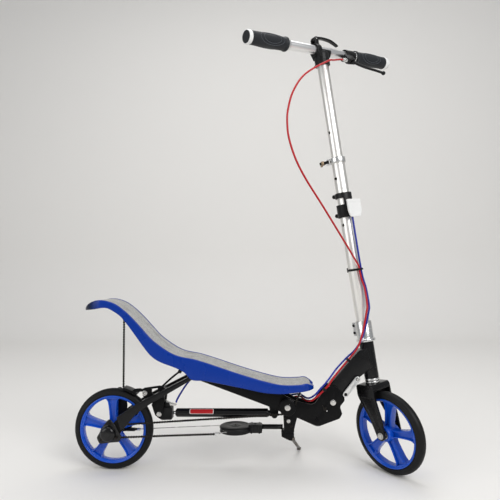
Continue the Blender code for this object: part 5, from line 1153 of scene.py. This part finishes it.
# Brake lever: clamp and body, two-step barrel, tapered blade with a ball tip
barToLever = leverFrame.inverted() @ barFrame
bodyOutline = softened([(-14, -20), (9, -20), (9, -9), (7, 6), (-3, 9), (-14, 12)], [2, 3, 2, 5, 5, 2], 5)
leverSlot = lying([(-6, -8.5), (20, -8.5), (40, 30), (-6, 30)], -4.3, 4.3)
leverCore = carved(lying(bodyOutline, -7.5, 7.5), leverSlot, placed(turnedRod(12.4, 60, 140, steps=64, ease=0.01),
    barToLever))
leverShapes = [roundEdges(leverCore, 1.1, 3, 50), placed(turnedPipe(11.4, 15.5, 85, 118, steps=72, ease=1.5),
    barToLever), placed(capBolt((-16, 0, 0), 1, 95, 3.6, 12), barToLever), turnedRod(2, -8.5, 8.5, "Z")]
show("leverBody", leverShapes, "mouldedBlack", "height", leverFrame, "brake_lever_body")
barrel = [(0, -19.4), (4.6, -19.4), (5.1, -20), (5.1, -22.4), (4.4, -22.8), (4.4, -24), (5.0, -24.4), (5.0, -27),
    (4.4, -27.6), (3.2, -27.8), (3.2, -29), (3.6, -29.4), (3.6, -32.4), (3.2, -33.2), (2.3, -33.6), (0, -33.6)]
show("barrelAdjuster", spun(barrel, at=(4, 0, 0), steps=36), "castSilver", "height", leverFrame)
bladeLine = smoothLine([(0, -1, 0), (13, 15, 0), (23, 36, 0), (28, 58, 0), (32, 78, 0), (38, 97, 0)], 6)
sections = []
for k, spot in enumerate(bladeLine):
    ahead = (bladeLine[min(k + 1, len(bladeLine) - 1)] - bladeLine[max(k - 1, 0)]).normalized()
    across = Vector((ahead.y, -ahead.x, 0))
    share = k / (len(bladeLine) - 1)
    wide = 3.9 + 2.6 * (1 - eased(share, 0.2, 0.5))
    loop = []
    for a in range(20):
        angle = 2 * pi * a / 20
        squareUp = (abs(cos(angle)) ** 4 + abs(sin(angle)) ** 4) ** -0.25
        loop.append(spot + across * wide * cos(angle) * squareUp * 0.92
            + Vector((0, 0, 3.1 * sin(angle) * squareUp * 0.92)))
    sections.append(loop)
ball = bmesh.new()
bmesh.ops.create_uvsphere(ball, u_segments=28, v_segments=18, radius=5.5)
bmesh.ops.translate(ball, vec=(38, 98, 0), verts=ball.verts)
knuckle = turnedPipe(2.3, 6, -4, 4, "Z", steps=40, ease=0.8)
show("brakeLever", [skinned(sections), ball, knuckle], "mouldedBlack", "lever", leverFrame, "brake_lever")

# Curved quick release lever over the stem
quickTop = [(-16, 6.5), (0, 8.5), (20, 9), (40, 7), (54, 2), (66, -5)]
quickLow = [(65, -8.5), (52, -3), (38, 1.5), (20, 3.5), (2, 2.5), (-10, -5)]
smoothTop = [(p.x, p.z) for p in smoothLine([(x, 0, z) for x, z in quickTop], 5)]
smoothLow = [(p.x, p.z) for p in smoothLine([(x, 0, z) for x, z in quickLow], 5)]
quick = drawnOut(smoothTop + smoothLow + [(-15.6, -6.5), (-21, -4), (-22, 3)], -4.7, 4.7, 1.6, 3)
quickFrame = steerFrame @ moved((0, 0, 990)) @ sideTurn
show("stemLever", quick, "cylinderPaint", "quick", quickFrame, "stem_lever")
show("stemLeverEye", turnedPipe(2.3, 4.4, -5.0, 5.0, at=(-15.6, 0, 0), ease=0.5), "castSilver", "quick", quickFrame)
print("levers ready")

# Brake and lock cables along their real routes
tieAt, barAt, lockAt = column["tie"], column["bar"], column["lock"]


def fromSteer(point):
    return scooterFrame.inverted() @ steerFrame @ Vector(point)


freeLoop = [(60, -126.5, 0.824), (65, -178, 0.739), (65, -203.5, 0.656), (62, -209.5, 0.594), (60, -208, 0.536),
    (55, -192.5, 0.459), (50, -166, 0.381), (42, -119.7, 0.275), (30, -54, 0.121)]
upperRoute = smoothLine([(18 + 4 * leverOut.x, 55.2, 942 + 4 * leverOut.z), (24.2, 40, barAt - 27),
    (34, 5, barAt - 37.5), (45, -30, barAt - 49.5), *[(x, y, tieAt + share * (barAt - tieAt)) for x, y,
    share in freeLoop], (23.5, -17, tieAt + 17), (21.6, -8.4, tieAt + 5), (21.5, -7.5, tieAt),
    (21.5, -7.5, tieAt - 2.4)], 8)
upperCable = show("brakeCableUpper", alongLine(upperRoute, 2.3, 16), "redHousing", None, steerFrame,
    "brake_cable_upper")
foldRoute = [(604, -27, 297), (594, -17, 281), (585.9, -14, 270.8), (561.9, -16, 243.6), (547, -22, 226.5),
    (536, -26.2, 211.8)]
middleRoute = smoothLine([fromSteer((21.5, -7.5, tieAt - 2.5)), fromSteer((21.5, -7.5, tieAt - 8.5)),
    (621.5, -21.5, 468), (629, -21, 444), (633, -28, 404), (630, -32, 388), (622, -35.5, 351), (613, -34, 318),
    *foldRoute, (526, -26.8, 201.5), (521.5, -26.8, 197)], 7)
middleCable = show("brakeCableMiddle", alongLine(middleRoute, 2.3, 16), "redHousing", None, scooterFrame,
    "brake_cable_mid")
rearRoute = smoothLine([(521.4, -26.8, 196.9), (507, -26.8, 184), (494, -20, 173.5), (484, -6, 170), (476, 10, 172),
    (466, 27.4, 173.5), (430, 27.4, 170), (395, 27.4, 186), (340, 27.4, 205), (280, 27.4, 224), (240, 27.4, 232)], 7)
show("brakeCableRear", alongLine(rearRoute, 2.3, 16), "redHousing", node="brake_cable_rear")
sleeveRoute = smoothLine([(244, 27.4, 231.2), (240, 27.4, 232), (215, 27.4, 233.5), (200, 25, 238), (173, 10, 242),
    (150, -3, 228), (123, -8, 204.2)], 7)
sleeveClip = moved((166, 6, 239.5)) @ turned(-30, "Z")
show("cableSleeve", [alongLine(sleeveRoute, 2.5, 16), placed(turnedPipe(1.5, 4.4, -3, 3, "X"), sleeveClip)],
    "mouldedBlack")
blueRoute = smoothLine([fromSteer((24, -4.9, lockAt - 38.2)), fromSteer((24, -4.9, lockAt - 69)),
    fromSteer((23.5, -4.0, tieAt + 37)), fromSteer((21.5, -1, tieAt + 1)), fromSteer((21.5, -1, tieAt - 9)),
    (626, -17, 470), (633.5, -15, 444), (638.5, -22, 404), (636, -26.5, 388), (627, -30, 351), (616, -28.5, 320),
    (605, -20.5, 300), (595, -10, 286), (585, -8, 277), (560, -8.5, 251), (543, -19, 232), (528, -26.8, 215.5),
    (517.5, -26.8, 205)], 7)
lockCable = show("lockCableMiddle", alongLine(blueRoute, 2.3, 16), "blueHousing", None, scooterFrame,
    "lock_cable_mid")
lockRoute = smoothLine([(517.4, -26.8, 204.9), (504, -26.8, 190), (492, -18, 180), (483, -3, 176.5), (475, 14, 178),
    (466, 33, 178), (430, 33, 176), (395, 33, 192), (340, 33, 209), (280, 33, 226), (240, 33, 233), (215, 33, 233),
    (200, 29, 226), (184, 15, 209), (171, 4, 190), (160, 0, 171), (158, 0, 164)], 7)
show("lockCableRear", alongLine(lockRoute, 2.3, 16), "blueHousing", node="lock_cable_rear")
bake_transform(upperCable)
for piece, top, low in ((middleCable, (21.5, -7.5, tieAt - 12), (613, -34, 305)),
        (lockCable, (21.5, -1, tieAt - 12), (613, -28.5, 305))):
    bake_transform(piece)
print("cables ready")
